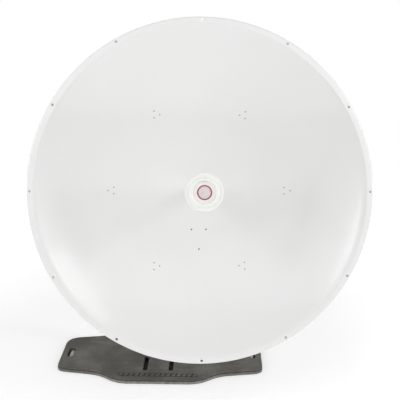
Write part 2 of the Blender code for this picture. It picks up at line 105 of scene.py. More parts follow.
def merged(*shapes):
    """Several shapes as one: the points stacked, each shape's faces counted on from the points before."""
    faces = []
    start = 0
    for points, groups in shapes:
        faces += [group + start for group in groups]
        start += len(points)
    return np.concatenate([points for points, _ in shapes]), faces


def outward(points, faces):
    """The shape with its faces turned over if its volume, the sum of a.(b x c)/6 over fans, is negative."""
    volume = 0.0
    for group in faces:
        for i in range(1, group.shape[1] - 1):
            a, b, c = points[group[:, 0]], points[group[:, i]], points[group[:, i + 1]]
            volume += np.einsum("ij,ij->", a, np.cross(b, c))
    return (points, faces) if volume > 0 else (points, [group[:, ::-1] for group in faces])


def spread(count):
    """Angles that share out a full turn."""
    return np.linspace(0, FULL_TURN, count, endpoint=False)


def circle(angle):
    """(cosine, sine) of each angle."""
    return np.stack([np.cos(angle), np.sin(angle)], -1)


def band(loop, following):
    """Quads between two closed loops of point numbers, or between rows of such loops."""
    return np.stack([loop, np.roll(loop, -1, -1), np.roll(following, -1, -1), following], -1).reshape(-1, 4)


def skin(rings, closed=False):
    """Solid through rings of points (n, m, 3): quads between neighbours, and a flat face on each end
    unless the last ring meets the first."""
    rings = np.asarray(rings, float)
    number = np.arange(rings.shape[0] * rings.shape[1]).reshape(rings.shape[:2])
    if closed:
        faces = [band(number, np.roll(number, -1, 0))]
    else:
        faces = [band(number[:-1], number[1:]), number[:1, ::-1], number[-1:]]
    return outward(rings.reshape(-1, 3), faces)


def stacked(levels, closed=False):
    """Solid through flat outlines, each with its height or its points' heights."""
    return skin([np.column_stack([line, np.broadcast_to(z, len(line))]) for line, z in levels], closed)


def lathe(profile, segments=64, closed=False):
    """Turned solid: each (radius, height) of the profile goes round the z axis in a circle."""
    ring = circle(spread(segments))
    return stacked([(radius * ring, height) for radius, height in profile], closed)


def eased(corners, reach, steps=4):
    """Closed outline with each corner replaced by a parabola that leaves both edges at `reach` from it,
    or at 0.45 of a shorter edge: (1-t)^2 before + 2t(1-t) corner + t^2 after."""
    corners = np.asarray(corners, float)
    reach = np.broadcast_to(reach, len(corners))[:, None]
    ends = []
    for side in (1, -1):
        step = np.roll(corners, side, 0) - corners
        length = np.linalg.norm(step, axis=1, keepdims=True)
        ends.append(corners + step / length * np.minimum(reach, 0.45 * length))
    t = np.linspace(0, 1, steps + 1)[None, :, None]
    before, after = ends[0][:, None], ends[1][:, None]
    return ((1 - t) ** 2 * before + 2 * t * (1 - t) * corners[:, None] + t ** 2 * after).reshape(-1, 2)


def eased_line(corners, reach, steps=4):
    """Open profile with its inner corners eased as in a closed one and its two ends kept."""
    corners = np.asarray(corners, float)
    inner = eased(corners, reach, steps).reshape(len(corners), steps + 1, 2)[1:-1].reshape(-1, 2)
    return np.concatenate([corners[:1], inner, corners[-1:]])


def rectangle(half_x, half_y, corner, steps=4):
    """Outline of a rectangle with eased corners."""
    return eased([(half_x, -half_y), (half_x, half_y), (-half_x, half_y), (-half_x, -half_y)], corner, steps)


def mirrored(half, *middle):
    """Outline from its right half, its points on the middle line, and the half's mirror image."""
    return [*half, *middle, *((-x, y) for x, y in reversed(half))]


def facing_out(outline):
    """Unit directions out of a closed outline at its points: the sum of its two edges' normals."""
    following = np.roll(outline, -1, 0)
    edge = following - outline
    edge /= np.linalg.norm(edge, axis=1, keepdims=True)
    out = np.stack([edge[:, 1], -edge[:, 0]], -1)
    out = out + np.roll(out, 1, 0)
    out /= np.linalg.norm(out, axis=1, keepdims=True)
    area = np.sum(outline[:, 0] * following[:, 1] - outline[:, 1] * following[:, 0])
    return out * np.sign(area)


def at_angles(outline, around):
    """Points of a closed outline at the given angles about the origin, read between its own points."""
    outline = np.concatenate([outline, outline[:1]])
    angle = np.unwrap(np.arctan2(outline[:, 1], outline[:, 0]))
    around = angle[0] + (around - angle[0]) % FULL_TURN
    return np.stack([np.interp(around, angle, outline[:, k]) for k in (0, 1)], -1)


def plate(outline, thickness, edge=0.0008):
    """Flat piece round z = 0: the outline at four heights, drawn in by `edge` at the top and the bottom."""
    outline = np.asarray(outline, float)
    drawn_in = outline - edge * facing_out(outline)
    half = thickness / 2
    return stacked([(drawn_in, -half), (outline, edge - half), (outline, half - edge), (drawn_in, half)])


def block(low, high, edge, corner):
    """Box with eased upright corners and drawn-in top and bottom edges."""
    low, high = np.array(low), np.array(high)
    half = (high - low) / 2
    points, faces = plate(rectangle(half[0], half[1], corner, 3), 2 * half[2], edge)
    return points + (high + low) / 2, faces


def hollow_bar(width, height, length, wall=0.003):
    """Square tube along z from 0: its outer outline at both ends and its inner one back, ring after ring."""
    outer = rectangle(width / 2, height / 2, 0.004)
    inner = outer - wall * facing_out(outer)
    return stacked([(outer, 0), (outer, length), (inner, length), (inner, 0)], closed=True)


def bar_caps(width, height, length):
    """Domed caps on both ends of such a tube: its eased outline shrinks while its height rises."""
    outline = rectangle(width / 2, height / 2, 0.003, 3)
    levels = ((0.84, -0.012), (0.84, 0), (0.985, 0), (0.985, 0.0012), (0.90, 0.0022), (0.55, 0.0026))
    cap = stacked([(outline * share, z) for share, z in levels])
    return copies(cap, [(0, 0, length), (0, 0, 0)], np.stack([STRAIGHT, BACKWARDS]))


WELD = 0.003                      # radius of a bead
BIG_WELD = 0.0035
RIPPLE = 0.0042                   # length of a bead's ripples


def rippled(way):
    """Share of a bead's radius along its way: 0.85 + 0.15 |sin|, once in each ripple."""
    return 0.85 + 0.15 * np.abs(np.sin(PI * way / RIPPLE))


def weld(start, end, up=(0, 1, 0), size=WELD):
    """Straight weld bead: rings round the line from start to end, rippled, and smaller at both ends."""
    start, end = np.array(start), np.array(end)
    length = np.linalg.norm(end - start)
    ahead = (end - start) / length
    side = np.cross(ahead, up)
    side /= np.linalg.norm(side)
    ring = circle(spread(8)) @ np.stack([side, np.cross(side, ahead)])
    way = np.linspace(0, length, int(length / 0.0012) + 6)[:, None, None]
    taper = np.clip(np.minimum(way, length - way) / size, 0.3, 1) ** 0.5
    return skin(start + way * ahead + size * rippled(way) * taper * ring)


def round_weld(radius, height, size=BIG_WELD, segments=180):
    """Weld bead round the z axis: a torus whose section's radius ripples with the angle."""
    around, section = spread(segments)[:, None], spread(8)
    width = size * rippled(around * radius)
    reach = (radius + width * np.cos(section))[..., None]
    return skin(np.concatenate([reach * circle(around), (height + width * np.sin(section))[..., None]], -1),
                closed=True)


def hex_block(across, low, high):
    """Nut or bolt head: a hexagon, its radius half the width across flats over the cosine of the angle
    from a flat's middle, cut at both ends by a 30 degree cone, which takes most off its corners."""
    angle = spread(48)
    radius = across / 2 / np.cos((angle + PI / 6) % (PI / 3) - PI / 6)
    outline, ring = radius[:, None] * circle(angle), 0.97 * across / 2 * circle(angle)
    drop = (radius - across / 2) * np.tan(PI / 6) + 0.0003
    return stacked([(ring, low), (outline, low + drop), (outline, high - drop), (ring, high)])


def thread(radius, low, high, pitch=0.00175):
    """Threaded rod: the radius swings by a quarter of the pitch, once in each pitch along z."""
    z = np.linspace(low, high, 4 * max(int((high - low) / pitch), 2) + 1)
    depth = pitch / 8 * (1 - np.cos(FULL_TURN * np.arange(len(z)) / 4))
    depth[[0, -1]] = pitch / 2
    return lathe(np.column_stack([radius - depth, z]), 24)


def washer(bore, radius, low, high):
    """Flat ring with drawn-in outer edges."""
    edge = 0.15 * (high - low)
    return lathe([(bore, high), (radius - edge, high), (radius, high - edge), (radius, low + edge),
                  (radius - edge, low), (bore, low)], 36, closed=True)


def headed(across, rise, washer_radius, washer_rise=0.0012):
    """Hexagon head on a washer, standing on z = 0."""
    return merged(washer(across * 0.3, washer_radius, 0.0001, washer_rise),
                  hex_block(across, washer_rise, washer_rise + rise))


def frames_on(normals, along=(0, 0, 1)):
    """Rotations (k, 3, 3) whose third column is each normal and whose second leans towards `along`."""
    normals = np.asarray(normals, float)
    third = normals / np.linalg.norm(normals, axis=1, keepdims=True)
    first = np.cross(np.broadcast_to(along, third.shape), third)
    first /= np.linalg.norm(first, axis=1, keepdims=True)
    return np.stack([first, np.cross(third, first), third], -1)


def copies(shape, origins, rotations=STRAIGHT):
    """The shape once at each origin, turned by the rotation that goes with it, as one shape."""
    points, faces = shape
    origins = np.asarray(origins, float)
    rotations = np.broadcast_to(rotations, (len(origins), 3, 3))
    every = np.einsum("kab,nb->kna", rotations, points) + origins[:, None]
    shift = len(points) * np.arange(len(origins))[:, None, None]
    return every.reshape(-1, 3), [(group + shift).reshape(-1, group.shape[1]) for group in faces]


def ring_of(shape, count, radius, height, start, facing=STRAIGHT):
    """The shape repeated round the z axis, turned by `facing` and then its x outwards."""
    angle = start + spread(count)
    rotations = np.stack([turn("z", a) @ facing for a in angle])
    return copies(shape, np.column_stack([radius * circle(angle), np.full(count, height)]), rotations)


# Sheets over a flat grid, with holes

def within(low, high):
    """Core of a round-cornered hole: a function that gives the nearest point of a box."""
    return lambda points: np.clip(points, low, high)


def level(height):
    """Height of a flat face: the same over every point."""
    return lambda points: np.full(len(points), height)


def closest(values, value):
    """Place in the array of what is closest to a value."""
    return int(np.argmin(np.abs(values - value)))


def pierced_grid(flat, holes, around, edge, steps):
    """Flat grid (rows, columns, 2) with a hole in each named block of cells.

    A hole is (row, column, half rows, half columns, core, radius). Each point on the block's rim is
    joined to the hole's outline, which lies at the radius from the nearest point of its core, through
    rings that drop by edge (1 - cos a) and are wider than it by edge (1 - sin a).
    Returns the points as (x, y, drop), the faces, and each hole's last ring.
    """
    rows, columns, _ = flat.shape
    number = np.arange(rows * columns).reshape(rows, columns)
    flat = flat.reshape(-1, 2)
    points = [np.column_stack([flat, np.zeros(len(flat))])]
    kept = np.ones((rows - 1, columns if around else columns - 1), bool)
    faces, loops = [], []
    start = len(flat)
    for row, column, half_rows, half_columns, nearest, radius in holes:
        i = np.arange(row - half_rows, row + half_rows + 1)
        j = np.arange(column - half_columns, column + half_columns + 1) % columns
        kept[np.ix_(i[:-1], j[:-1])] = False
        loop = np.concatenate([number[i[0], j[:-1]], number[i[:-1], j[-1]],
                               number[i[-1], j[:0:-1]], number[i[:0:-1], j[0]]])
        core = nearest(flat[loop])
        away = flat[loop] - core
        away /= np.linalg.norm(away, axis=1, keepdims=True)
        for a in np.linspace(0, PI / 2, steps):
            ring = core + away * (radius + edge * (1 - np.sin(a)))
            points.append(np.column_stack([ring, np.full(len(ring), edge * (1 - np.cos(a)))]))
            inner = start + np.arange(len(ring))
            faces.append(band(loop, inner))
            start += len(ring)
            loop = inner
        loops.append(loop)
    i, j = np.nonzero(kept)
    after = (j + 1) % columns
    faces.append(np.stack([number[i, j], number[i, after], number[i + 1, after], number[i + 1, j]], -1))
    return np.concatenate(points), faces, loops


def two_faced(flat, holes, around, top, bottom, edge, borders, steps=3):
    """Sheet with a front and a back over one pierced grid.

    top and bottom give the heights over the grid's points. A wall joins the two in each hole, and each
    border is (loop of grid points, rings of points from the front to the back) that closes an edge.
    """
    points, faces, loops = pierced_grid(flat, holes, around, edge, steps)
    count = len(points)
    flat, drop = points[:, :2], points[:, 2]
    every = [np.column_stack([flat, top(flat) - drop]), np.column_stack([flat, bottom(flat) + drop])]
    groups = faces + [group[:, ::-1] + count for group in faces]
    groups += [band(loop, loop + count) for loop in loops]
    start = 2 * count
    for loop, rings in borders:
        size = len(loop)
        chain = [loop] + [start + k * size + np.arange(size) for k in range(len(rings))] + [loop + count]
        groups += [band(a, b) for a, b in zip(chain, chain[1:])]
        every += rings
        start += size * len(rings)
    return outward(np.concatenate(every), groups)


# Finishes

class Nodes:
    """A node tree with its coordinates, and short ways to add to it."""

    def __init__(self, tree, coordinates):
        self.tree = tree
        self.place = self.add("ShaderNodeTexCoord").outputs[coordinates]

    def put(self, value, socket):
        """A value into a socket, or a link from another socket."""
        if isinstance(value, bpy.types.NodeSocket):
            self.tree.links.new(value, socket)
        else:
            socket.default_value = value

    def add(self, kind, settings=(), **inputs):
        """A node with its settings and its inputs, which go by name or, as i0 or i6, by number."""
        node = self.tree.nodes.new(kind)
        for key, value in dict(settings).items():
            setattr(node, key, value)
        for key, value in inputs.items():
            self.put(value, node.inputs[int(key[1:]) if key[1:].isdigit() else key])
        return node

    def height(self, axis="Z"):
        """One of the three coordinates."""
        return self.add("ShaderNodeSeparateXYZ", Vector=self.place).outputs[axis]

    def ranged(self, value, before, after=(0.0, 1.0)):
        """A value carried from one range to another, and held at both ends."""
        limits = {"From Min": before[0], "From Max": before[1], "To Min": after[0], "To Max": after[1]}
        return self.add("ShaderNodeMapRange", Value=value, **limits).outputs[0]

    def noise(self, scale, detail=3.0, roughness=0.5, at=None):
        """Cloudy pattern with `scale` blots to a metre."""
        return self.add("ShaderNodeTexNoise", Vector=at or self.place, Scale=scale, Detail=detail,
                        Roughness=roughness).outputs[0]

    def ramp(self, value, *stops):
        """Colours or greys at given values, blended between."""
        node = self.add("ShaderNodeValToRGB", Fac=value)
        elements = node.color_ramp.elements
        while len(elements) < len(stops):
            elements.new(0.5)
        for element, (position, colour) in zip(elements, stops):
            element.position = position
            element.color = (*colour, 1) if isinstance(colour, tuple) else (colour, colour, colour, 1)
        return node.outputs[0]

    def mix(self, share, first, second):
        """Two colours mixed by a share."""
        first, second = [(*value, 1) if isinstance(value, tuple) else value for value in (first, second)]
        return self.add("ShaderNodeMix", {"data_type": "RGBA"}, i0=share, i6=first, i7=second).outputs[2]

    def calc(self, kind, *values):
        """One step of arithmetic on sockets and numbers."""
        inputs = {f"i{i}": value for i, value in enumerate(values)}
        return self.add("ShaderNodeMath", {"operation": kind}, **inputs).outputs[0]


class Finish(Nodes):
    """A material while it is made, with ways to fill its shader's sockets."""

    def __init__(self, name, colour, roughness, metallic=0.0, **constants):
        self.material = bpy.data.materials.new(name)
        self.material.use_nodes = True
        self.material.diffuse_color = (*colour, 1)
        super().__init__(self.material.node_tree, "Object")
        self.shader = self.tree.nodes["Principled BSDF"]
        constants.update({"Base Color": (*colour, 1), "Roughness": roughness, "Metallic": metallic})
        for socket, value in constants.items():
            self.fill(socket.replace("_", " "), value)

    def fill(self, socket, value):
        """A value or a pattern into one of the shader's sockets."""
        self.put(value, self.shader.inputs[socket])

    def shade(self, socket, pattern, *stops):
        """A pattern, by way of colours or greys at given values, into one of the shader's sockets."""
        self.fill(socket, self.ramp(pattern, *stops))

    def relief(self, *heights):
        """Bumps of (pattern, depth in metres), one on the other."""
        under = {}
        for pattern, depth in heights:
            bump = self.add("ShaderNodeBump", Height=pattern, Distance=depth, Strength=1.0, **under)
            under = {"Normal": bump.outputs[0]}
        self.fill("Normal", under["Normal"])


def toned(shade, *colours):
    """Colours with each part multiplied by a shade."""
    return [tuple(shade * part for part in colour) for colour in colours]


def mottled(name, dark, pale, clouds, roughness, metallic=0.0, grain=None, **constants):
    """Finish whose colour wanders from dark to pale with clouds, which are a scale, a detail and a
    roughness, under a grain, which is a scale, a detail and a depth."""
    made = Finish(name, dark, roughness, metallic, **constants)
    made.shade("Base Color", made.noise(*clouds), (0.3, dark), (0.7, pale))
    if grain:
        made.relief((made.noise(*grain[:2]), grain[2]))
    return made


def white_paint():
    """Glossy white powder coat: faint warm and cool clouds, and a fine orange peel."""
    made = Finish("white_paint", (0.76, 0.76, 0.75), 0.3, Coat_Weight=0.5, Coat_Roughness=0.09)
    made.shade("Base Color", made.noise(4.0), (0.35, (0.748, 0.748, 0.741)), (0.65, (0.760, 0.760, 0.757)))
    made.shade("Roughness", made.noise(9.0), (0.3, 0.30), (0.7, 0.35))
    made.relief((made.noise(420.0, 1.0), 0.00002), (made.noise(5.0, 1.0), 0.0002))
    return made.material


def cream_plastic():
    """Satin moulded plastic, a little warm, with a fine grain."""
    return mottled("cream_plastic", (0.835, 0.83, 0.80), (0.86, 0.855, 0.825), (30.0,), 0.38,
                   grain=(1800.0, 1.0, 0.00002)).material


def printed_label():
    """Pale grey film, slightly glossy."""
    return mottled("label", (0.61, 0.560, 0.560), (0.72, 0.675, 0.67), (160.0,), 0.3).material


def red_print():
    """Dark red ink."""
    return mottled("red_print", (0.28, 0.04, 0.06), (0.38, 0.06, 0.09), (300.0,), 0.35).material


def galvanised_steel():
    """Hot-dip zinc: crystals of slightly different greys, duller streaks, and a faint relief."""
    made = Finish("galvanised_steel", (0.42, 0.44, 0.45), 0.42, 0.85)
    crystals = made.add("ShaderNodeTexVoronoi", Vector=made.place, Scale=110.0).outputs["Color"]
    clouds = made.noise(18.0, 5.0, 0.6)
    grey = made.ramp(made.add("ShaderNodeSeparateColor", Color=crystals).outputs[0],
                     (0.0, (0.33, 0.35, 0.36)), (1.0, (0.52, 0.54, 0.55)))
    dull = made.ramp(clouds, (0.35, (0.30, 0.31, 0.32)), (0.65, (0.54, 0.55, 0.56)))
    made.fill("Base Color", made.mix(0.45, grey, dull))
    made.shade("Roughness", clouds, (0.3, 0.34), (0.7, 0.55))
    made.relief((made.noise(60.0, 4.0), 0.0003))
    return made.material


def bright_steel():
    """Zinc-plated fasteners with a faint yellow and blue tint."""
    made = mottled("bright_steel", (0.60, 0.60, 0.55), (0.64, 0.66, 0.68), (70.0,), 0.32, 1.0)
    made.shade("Roughness", made.noise(200.0), (0.3, 0.25), (0.7, 0.42))
    return made.material


def cast_alloy(name="cast_alloy", shade=1.0):
    """Sand-cast aluminium: grainy, light grey, darker in patches."""
    dark, pale = toned(shade, (0.52, 0.53, 0.54), (0.66, 0.67, 0.68))
    return mottled(name, dark, pale, (45.0, 5.0, 0.65), 0.5, 0.8, (700.0, 3.0, 0.00025)).material


def black_plastic(name="black_plastic", shade=1.0):
    """Matt black polythene, slightly greyed; a large shade makes it grey."""
    dark, pale = toned(shade, (0.0096, 0.0094, 0.0090), (0.0230, 0.0224, 0.0216))
    return mottled(name, dark, pale, (60.0,), 0.6, grain=(900.0, 1.0, 0.00006),
                   Specular_IOR_Level=0.25).material


def recycled_plastic(name="recycled_plastic", shade=1.0):
    """Recycled moulding: warm dark grey, mottled, streaked, grainy, and paler low on its bulge, a painted
    highlight.
    """
    def warm(grey):
        """A grey a little warmer than even."""
        return toned(shade * grey, (1, 0.95, 0.84))[0]

    made = Finish(name, warm(0.14), 0.7)
    broad = made.noise(7.0, 4.0, 0.55)
    fine = made.noise(85.0, 6.0, 0.7)
    base = made.ramp(broad, (0.32, warm(0.076)), (0.50, warm(0.120)), (0.68, warm(0.215)))
    speck = made.ramp(fine, (0.36, warm(0.055)), (0.50, warm(0.100)), (0.68, warm(0.170)))
    body = made.mix(0.36, base, speck)
    stretched = made.add("ShaderNodeMapping", Vector=made.place, Scale=(1, 5, 1), Rotation=(0, 0, 0.5))
    streak = made.noise(4.5, 8.0, 0.72, stretched.outputs[0])
    body = made.mix(made.ramp(streak, (0.54, 0.0), (0.70, 0.55)), body, warm(0.24))
    # painted highlight: the lip low on the plate's side is paler about its middle, where it faces the light
    low = made.ranged(made.height(), (0.0125, 0.0105))
    lit_middle = made.ranged(made.calc("ABSOLUTE", made.height("X")), (0.18, 0.30), (1.0, 0.3))
    # the paler colour of that painted highlight
    edge = made.ramp(fine, (0.35, warm(0.17)), (0.65, warm(0.34)))
    made.fill("Base Color", made.mix(made.calc("MULTIPLY", low, lit_middle), body, edge))
    made.shade("Roughness", fine, (0.3, 0.55), (0.7, 0.8))
    made.relief((broad, 0.004), (fine, 0.0012), (made.noise(420.0, 3.0), 0.0004))
    return made.material


PAINT, CREAM, LABEL, MOULDING = "white_paint", "cream_plastic", "label", "recycled_plastic"
ZINC, BRIGHT, CAST, BLACK = "galvanised_steel", "bright_steel", "cast_alloy", "black_plastic"
FINISHES = {
    PAINT: white_paint(),
    CREAM: cream_plastic(),
    LABEL: printed_label(),
    ZINC: galvanised_steel(),
    BRIGHT: bright_steel(),
    CAST: cast_alloy(),
    MOULDING: recycled_plastic(),
    BLACK: black_plastic(),
}
RED_PRINT = red_print()
# a paler copy of the moulding: painted light for the lit floor of the handle holes
PAINTED_LIGHT_MOULDING = recycled_plastic("painted_light_moulding", 3.0)
# cast alloy at about half its brightness, for the rivet heads
DARKER_ALLOY = cast_alloy("darker_alloy", 0.48)
# a grey copy of the black plastic: painted shade for the rim holes
PLUG_SHADE_GREY = black_plastic("plug_shade_grey", 22.0)


def linked(name, data):
    """A new object with the data, in the scene."""
    made = bpy.data.objects.new(name, data)
    bpy.context.scene.collection.objects.link(made)
    return made


def piece(name, shape, slot, body, *replaced, finish=None):
    """The shape, measured in its body's place, as an object that rides on the body, in its slot's finish
    unless another is named, standing for the replaced nodes."""
    points, faces = moved(shape, *PLACES[body])
    mesh = bpy.data.meshes.new(name)
    mesh.from_pydata(points.tolist(), [], [face for group in faces for face in group.tolist()])
    mesh.materials.append(finish or FINISHES[slot])
    mesh.shade_smooth()
    mesh.set_sharp_from_angle(angle=STEEP)
    made = linked(name, mesh)
    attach(made, body)
    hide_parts(*replaced)


# Reflector, in the dish's place

RIM_HOLE_CIRCLE = 0.600
RIM_HOLE_RADIUS = 0.0045
RIM_HOLES = 12
OPEN_HOLES = (0, 6, 7)            # clockwise from the top; the others are plugged
SMALL_HOLE_RADIUS = 0.003
SMALL_HOLES = np.array([(-0.0273, -0.149), (0.0273, -0.149), (0, -0.2223)]) @ turn("z", CLOCK)[:2, :2]
HOLE_EDGE = 0.0004                # radius of the edges round the holes
RIVET_CIRCLE = 0.3255             # through the middles of the six groups of three
RIVET_SPREAD = 0.0140             # from a group's middle to each rivet
RIVET_RADIUS = 0.0026
RIVET_RISE = 0.0009
COLUMNS = 480                     # of the reflector's grid, one every 0.75 degrees
CELL = 0.0022                     # step between the grid's rings beside the small holes


def clock_angle(clock):
    """Angle from x for a clockwise angle from the top, in the dish's plane."""
    return PI / 2 - CLOCK - clock


def bowl_face(points):
    """Front height at (x, y): the smooth lesser of the bowl, radius squared over four focal lengths,
    and the flange, which falls back evenly from its inner edge."""
    width = 0.0006
    square = np.sum(points ** 2, -1)
    flange = FLANGE_FACE - FLANGE_FALL * (np.sqrt(square) - APERTURE)
    return -width * np.logaddexp(-square / (4 * FOCAL) / width, -flange / width)


def bowl_back(points):
    """Back height: the front's, less the sheet's thickness times the length of the slope under it."""
    radius = np.linalg.norm(points, axis=-1)
    slope = radius / (2 * FOCAL) / (1 + np.exp(np.clip((radius - APERTURE) / 0.0008, -50, 50)))
    return bowl_face(points) - SHEET * np.sqrt(1 + slope ** 2)


def bowl_normal(points):
    """Direction out of the bowl's face: (-x, -y, two focal lengths)."""
    return np.column_stack([-points, np.full(len(points), 2 * FOCAL)])


def on_bowl(shape, spots, normals):
    """The shape at each spot of the front, square to its normal."""
    return copies(shape, np.column_stack([spots, bowl_face(spots)]), frames_on(normals, (0, 1, 0)))


def reflector_radii(centres):
    """Radii of the grid's rings: even steps to the aperture, five close ones round each small hole's
    centre, and the flange's."""
    radii = np.linspace(CENTRE_BORE, APERTURE - 0.0015, 44)
    for centre in centres:
        radii = radii[np.abs(radii - centre) > 3 * CELL]
        radii = np.concatenate([radii, centre + CELL * np.arange(-2, 3)])
    flange = np.linspace(2 * RIM_HOLE_CIRCLE - FLANGE_RADIUS, FLANGE_RADIUS, 5)
    return np.sort(np.concatenate([radii, [APERTURE, APERTURE + 0.0015, APERTURE + 0.003], flange]))


def lip_profile():
    """Rolled lip from the flange's outer edge round to its back: a quarter circle, a skirt, and both again
    from inside, a sheet's thickness nearer the bend's middle."""
    roll, eased_by = LIP_RADIUS - FLANGE_RADIUS, 0.0006
    crest = FLANGE_FACE - FLANGE_FALL * (FLANGE_RADIUS - APERTURE)
    low = FLANGE_FACE - LIP_DEPTH
    inner = LIP_RADIUS - SHEET
    lean = circle(np.linspace(PI / 2, 0, 6)[1:])
    outside = (FLANGE_RADIUS, crest - roll) + roll * lean
    skirt = [(LIP_RADIUS, low + eased_by), (LIP_RADIUS - eased_by, low), (inner + eased_by, low),
             (inner, low + eased_by)]
    return np.concatenate([outside, skirt, (outside - SHEET * lean)[::-1]])


def reflector():
    """Bowl, flange and rolled lip on a grid of rings and spokes, pierced at the rim and below the feed."""
    away = np.round(np.linalg.norm(SMALL_HOLES, axis=1), 5)
    radii = reflector_radii(np.unique(away))
    spoke = circle(clock_angle(spread(COLUMNS)))
    spots = [(RIM_HOLE_CIRCLE, RIM_HOLE_CIRCLE * each, RIM_HOLE_RADIUS)
             for each in spoke[::COLUMNS // RIM_HOLES]]
    spots += [(ring, spot, SMALL_HOLE_RADIUS) for ring, spot in zip(away, SMALL_HOLES)]
    holes = [(closest(radii, ring), int(np.argmax(spoke @ spot)), 2, 2, within(spot, spot), radius)
             for ring, spot, radius in spots]
    rings = [np.column_stack([radius * spoke, np.full(COLUMNS, height)]) for radius, height in lip_profile()]
    column = np.arange(COLUMNS)
    return two_faced(radii[:, None, None] * spoke, holes, True, bowl_face, bowl_back, HOLE_EDGE,
                     [(column[::-1], []), ((len(radii) - 1) * COLUMNS + column, rings)])


def rivets():
    """Low rivet heads, three about each group's middle, one straight outwards: a dome over a step."""
    group = clock_angle(np.radians(30) + spread(6))[:, None]
    spots = (RIVET_CIRCLE * circle(group) + RIVET_SPREAD * circle(group + spread(3))).reshape(-1, 2)
    dome = (RIVET_RADIUS, RIVET_RISE) * circle(np.linspace(0, PI / 2, 6))
    dome[-1, 0] = AXIS
    return on_bowl(lathe([(RIVET_RADIUS, -0.0004), *dome], 20), spots, bowl_normal(spots))


def hole_plugs(spots, normals, radius):
    """Plugs a little under the face: a dished disc at each spot, square to its normal."""
    reach = radius - 0.0002
    disc = lathe([(AXIS, -0.0009), (0.6 * reach, -0.0008), (0.8 * reach, -0.0004), (reach, -0.0006),
                  (reach, -0.0019), (AXIS, -0.0019)], 24)
    return on_bowl(disc, spots, normals)


def rim_shade_plugs():
    """The plugs in the rim's filled holes, square to the flange, which leans outwards by its fall; their
    grey is painted shade for the holes' shadowed walls.
    """
    outwards = circle(clock_angle(np.delete(spread(RIM_HOLES), OPEN_HOLES)))
    normals = np.column_stack([FLANGE_FALL * outwards, np.ones(len(outwards))])
    return hole_plugs(RIM_HOLE_CIRCLE * outwards, normals, RIM_HOLE_RADIUS)


piece("reflector_shell", reflector(), PAINT, "dish", "reflector")
piece("rivet_heads", rivets(), CAST, "dish", finish=DARKER_ALLOY)
# black plugs: painted shade, the dark seen through the three small holes
piece("small_shade_plugs", hole_plugs(SMALL_HOLES, bowl_normal(SMALL_HOLES), SMALL_HOLE_RADIUS), BLACK, "dish")
# grey plugs: painted shade in the rim holes
piece("rim_shade_plugs", rim_shade_plugs(), BLACK, "dish", finish=PLUG_SHADE_GREY)


# Feed, in the dish's place

TUBE_RADIUS = 0.018
TUBE_BACK = -0.045                # this and the heights below are from the vertex
CONE_BACK = 0.300
HEAD_BACK = 0.350
HEAD_RADIUS = 0.065
HEAD_FRONT = 0.368
BEAD = (0.0386, 0.0402, 0.0468, 0.0500)       # radii at its inner foot, its flat crest and its outer foot
BEAD_CREST = HEAD_FRONT + 0.0086
BORE = 0.0352                     # of the disc, under the cap
FACE = HEAD_FRONT + 0.0014        # inside the bead
LABEL_RADIUS = 0.0245
LABEL_FACE = FACE + 0.0004
LABEL_BACK = FACE - 0.0005
RING_FACE = FACE + 0.0008         # of the printed ring


def feed_tube():
    """Round tube from the hub to the cone, with a low collar at its back."""
    collar = TUBE_RADIUS + 0.0015
    profile = [(TUBE_RADIUS - 0.002, CONE_BACK), (TUBE_RADIUS, CONE_BACK - 0.001), (TUBE_RADIUS, 0.020),
               (collar, 0.019), (collar, 0.006), (TUBE_RADIUS, 0.005), (TUBE_RADIUS, TUBE_BACK + 0.001),
               (TUBE_RADIUS - 0.001, TUBE_BACK)]
    return lathe(eased_line(profile, 0.0006, 2))


def feed_cone():
    """Flare from the tube to the head: radius grows with the 1.6th power of the way along."""
    t = np.linspace(0, 1, 24)
    radius = TUBE_RADIUS + 0.002 + (HEAD_RADIUS - 0.010 - TUBE_RADIUS) * t ** 1.6
    return lathe(np.column_stack([radius, CONE_BACK + GAP + (HEAD_BACK - CONE_BACK - 2 * GAP) * t]), 96)


def feed_disc():
    """Head: a disc with a round edge and a rounded bead that stands round the recess in its middle."""
    corners = [(BORE, HEAD_FRONT), (BEAD[0], FACE - 0.0004), (BEAD[1], BEAD_CREST - 0.0002),
               (BEAD[2], BEAD_CREST), (BEAD[3], HEAD_FRONT + 0.0005),
               (HEAD_RADIUS - 0.0030, HEAD_FRONT - 0.0005), (HEAD_RADIUS, HEAD_FRONT - 0.0055),
               (HEAD_RADIUS, HEAD_BACK + 0.003), (HEAD_RADIUS - 0.003, HEAD_BACK), (BORE, HEAD_BACK)]
    return lathe(eased_line(corners, 0.0014, 6), 128)


def feed_cap():
    """Face inside the bead, rising a little towards its rim."""
    rim = BEAD[0] + 0.0002
    corners = [(AXIS, FACE), (0.0300, FACE), (rim, FACE + 0.0002), (rim, HEAD_FRONT - 0.001)]
    return lathe(eased_line(corners, 0.001, 3), 96)


def feed_label():
    """Thin round label on the cap."""
    return lathe([(AXIS, LABEL_FACE), (LABEL_RADIUS, LABEL_FACE), (LABEL_RADIUS, LABEL_BACK)], 96)


def label_ring():
    """Printed ring round the label's edge."""
    inner, outer = LABEL_RADIUS - 0.0037, LABEL_RADIUS + 0.0006
    return lathe([(inner, RING_FACE), (outer, RING_FACE), (outer, LABEL_BACK), (inner, LABEL_BACK)], 96,
                 closed=True)


piece("feed_tube_fine", feed_tube(), CREAM, "dish", "feed_tube")
piece("feed_cone_fine", feed_cone(), CREAM, "dish", "feed_cone")
piece("feed_disc_fine", feed_disc(), CREAM, "dish", "feed_disc")
piece("feed_cap_fine", feed_cap(), CREAM, "dish", "feed_cap")
piece("feed_label_fine", feed_label(), LABEL, "dish", "feed_label")
piece("label_ring", label_ring(), LABEL, "dish", finish=RED_PRINT)


# Foot plate, in the stand's place

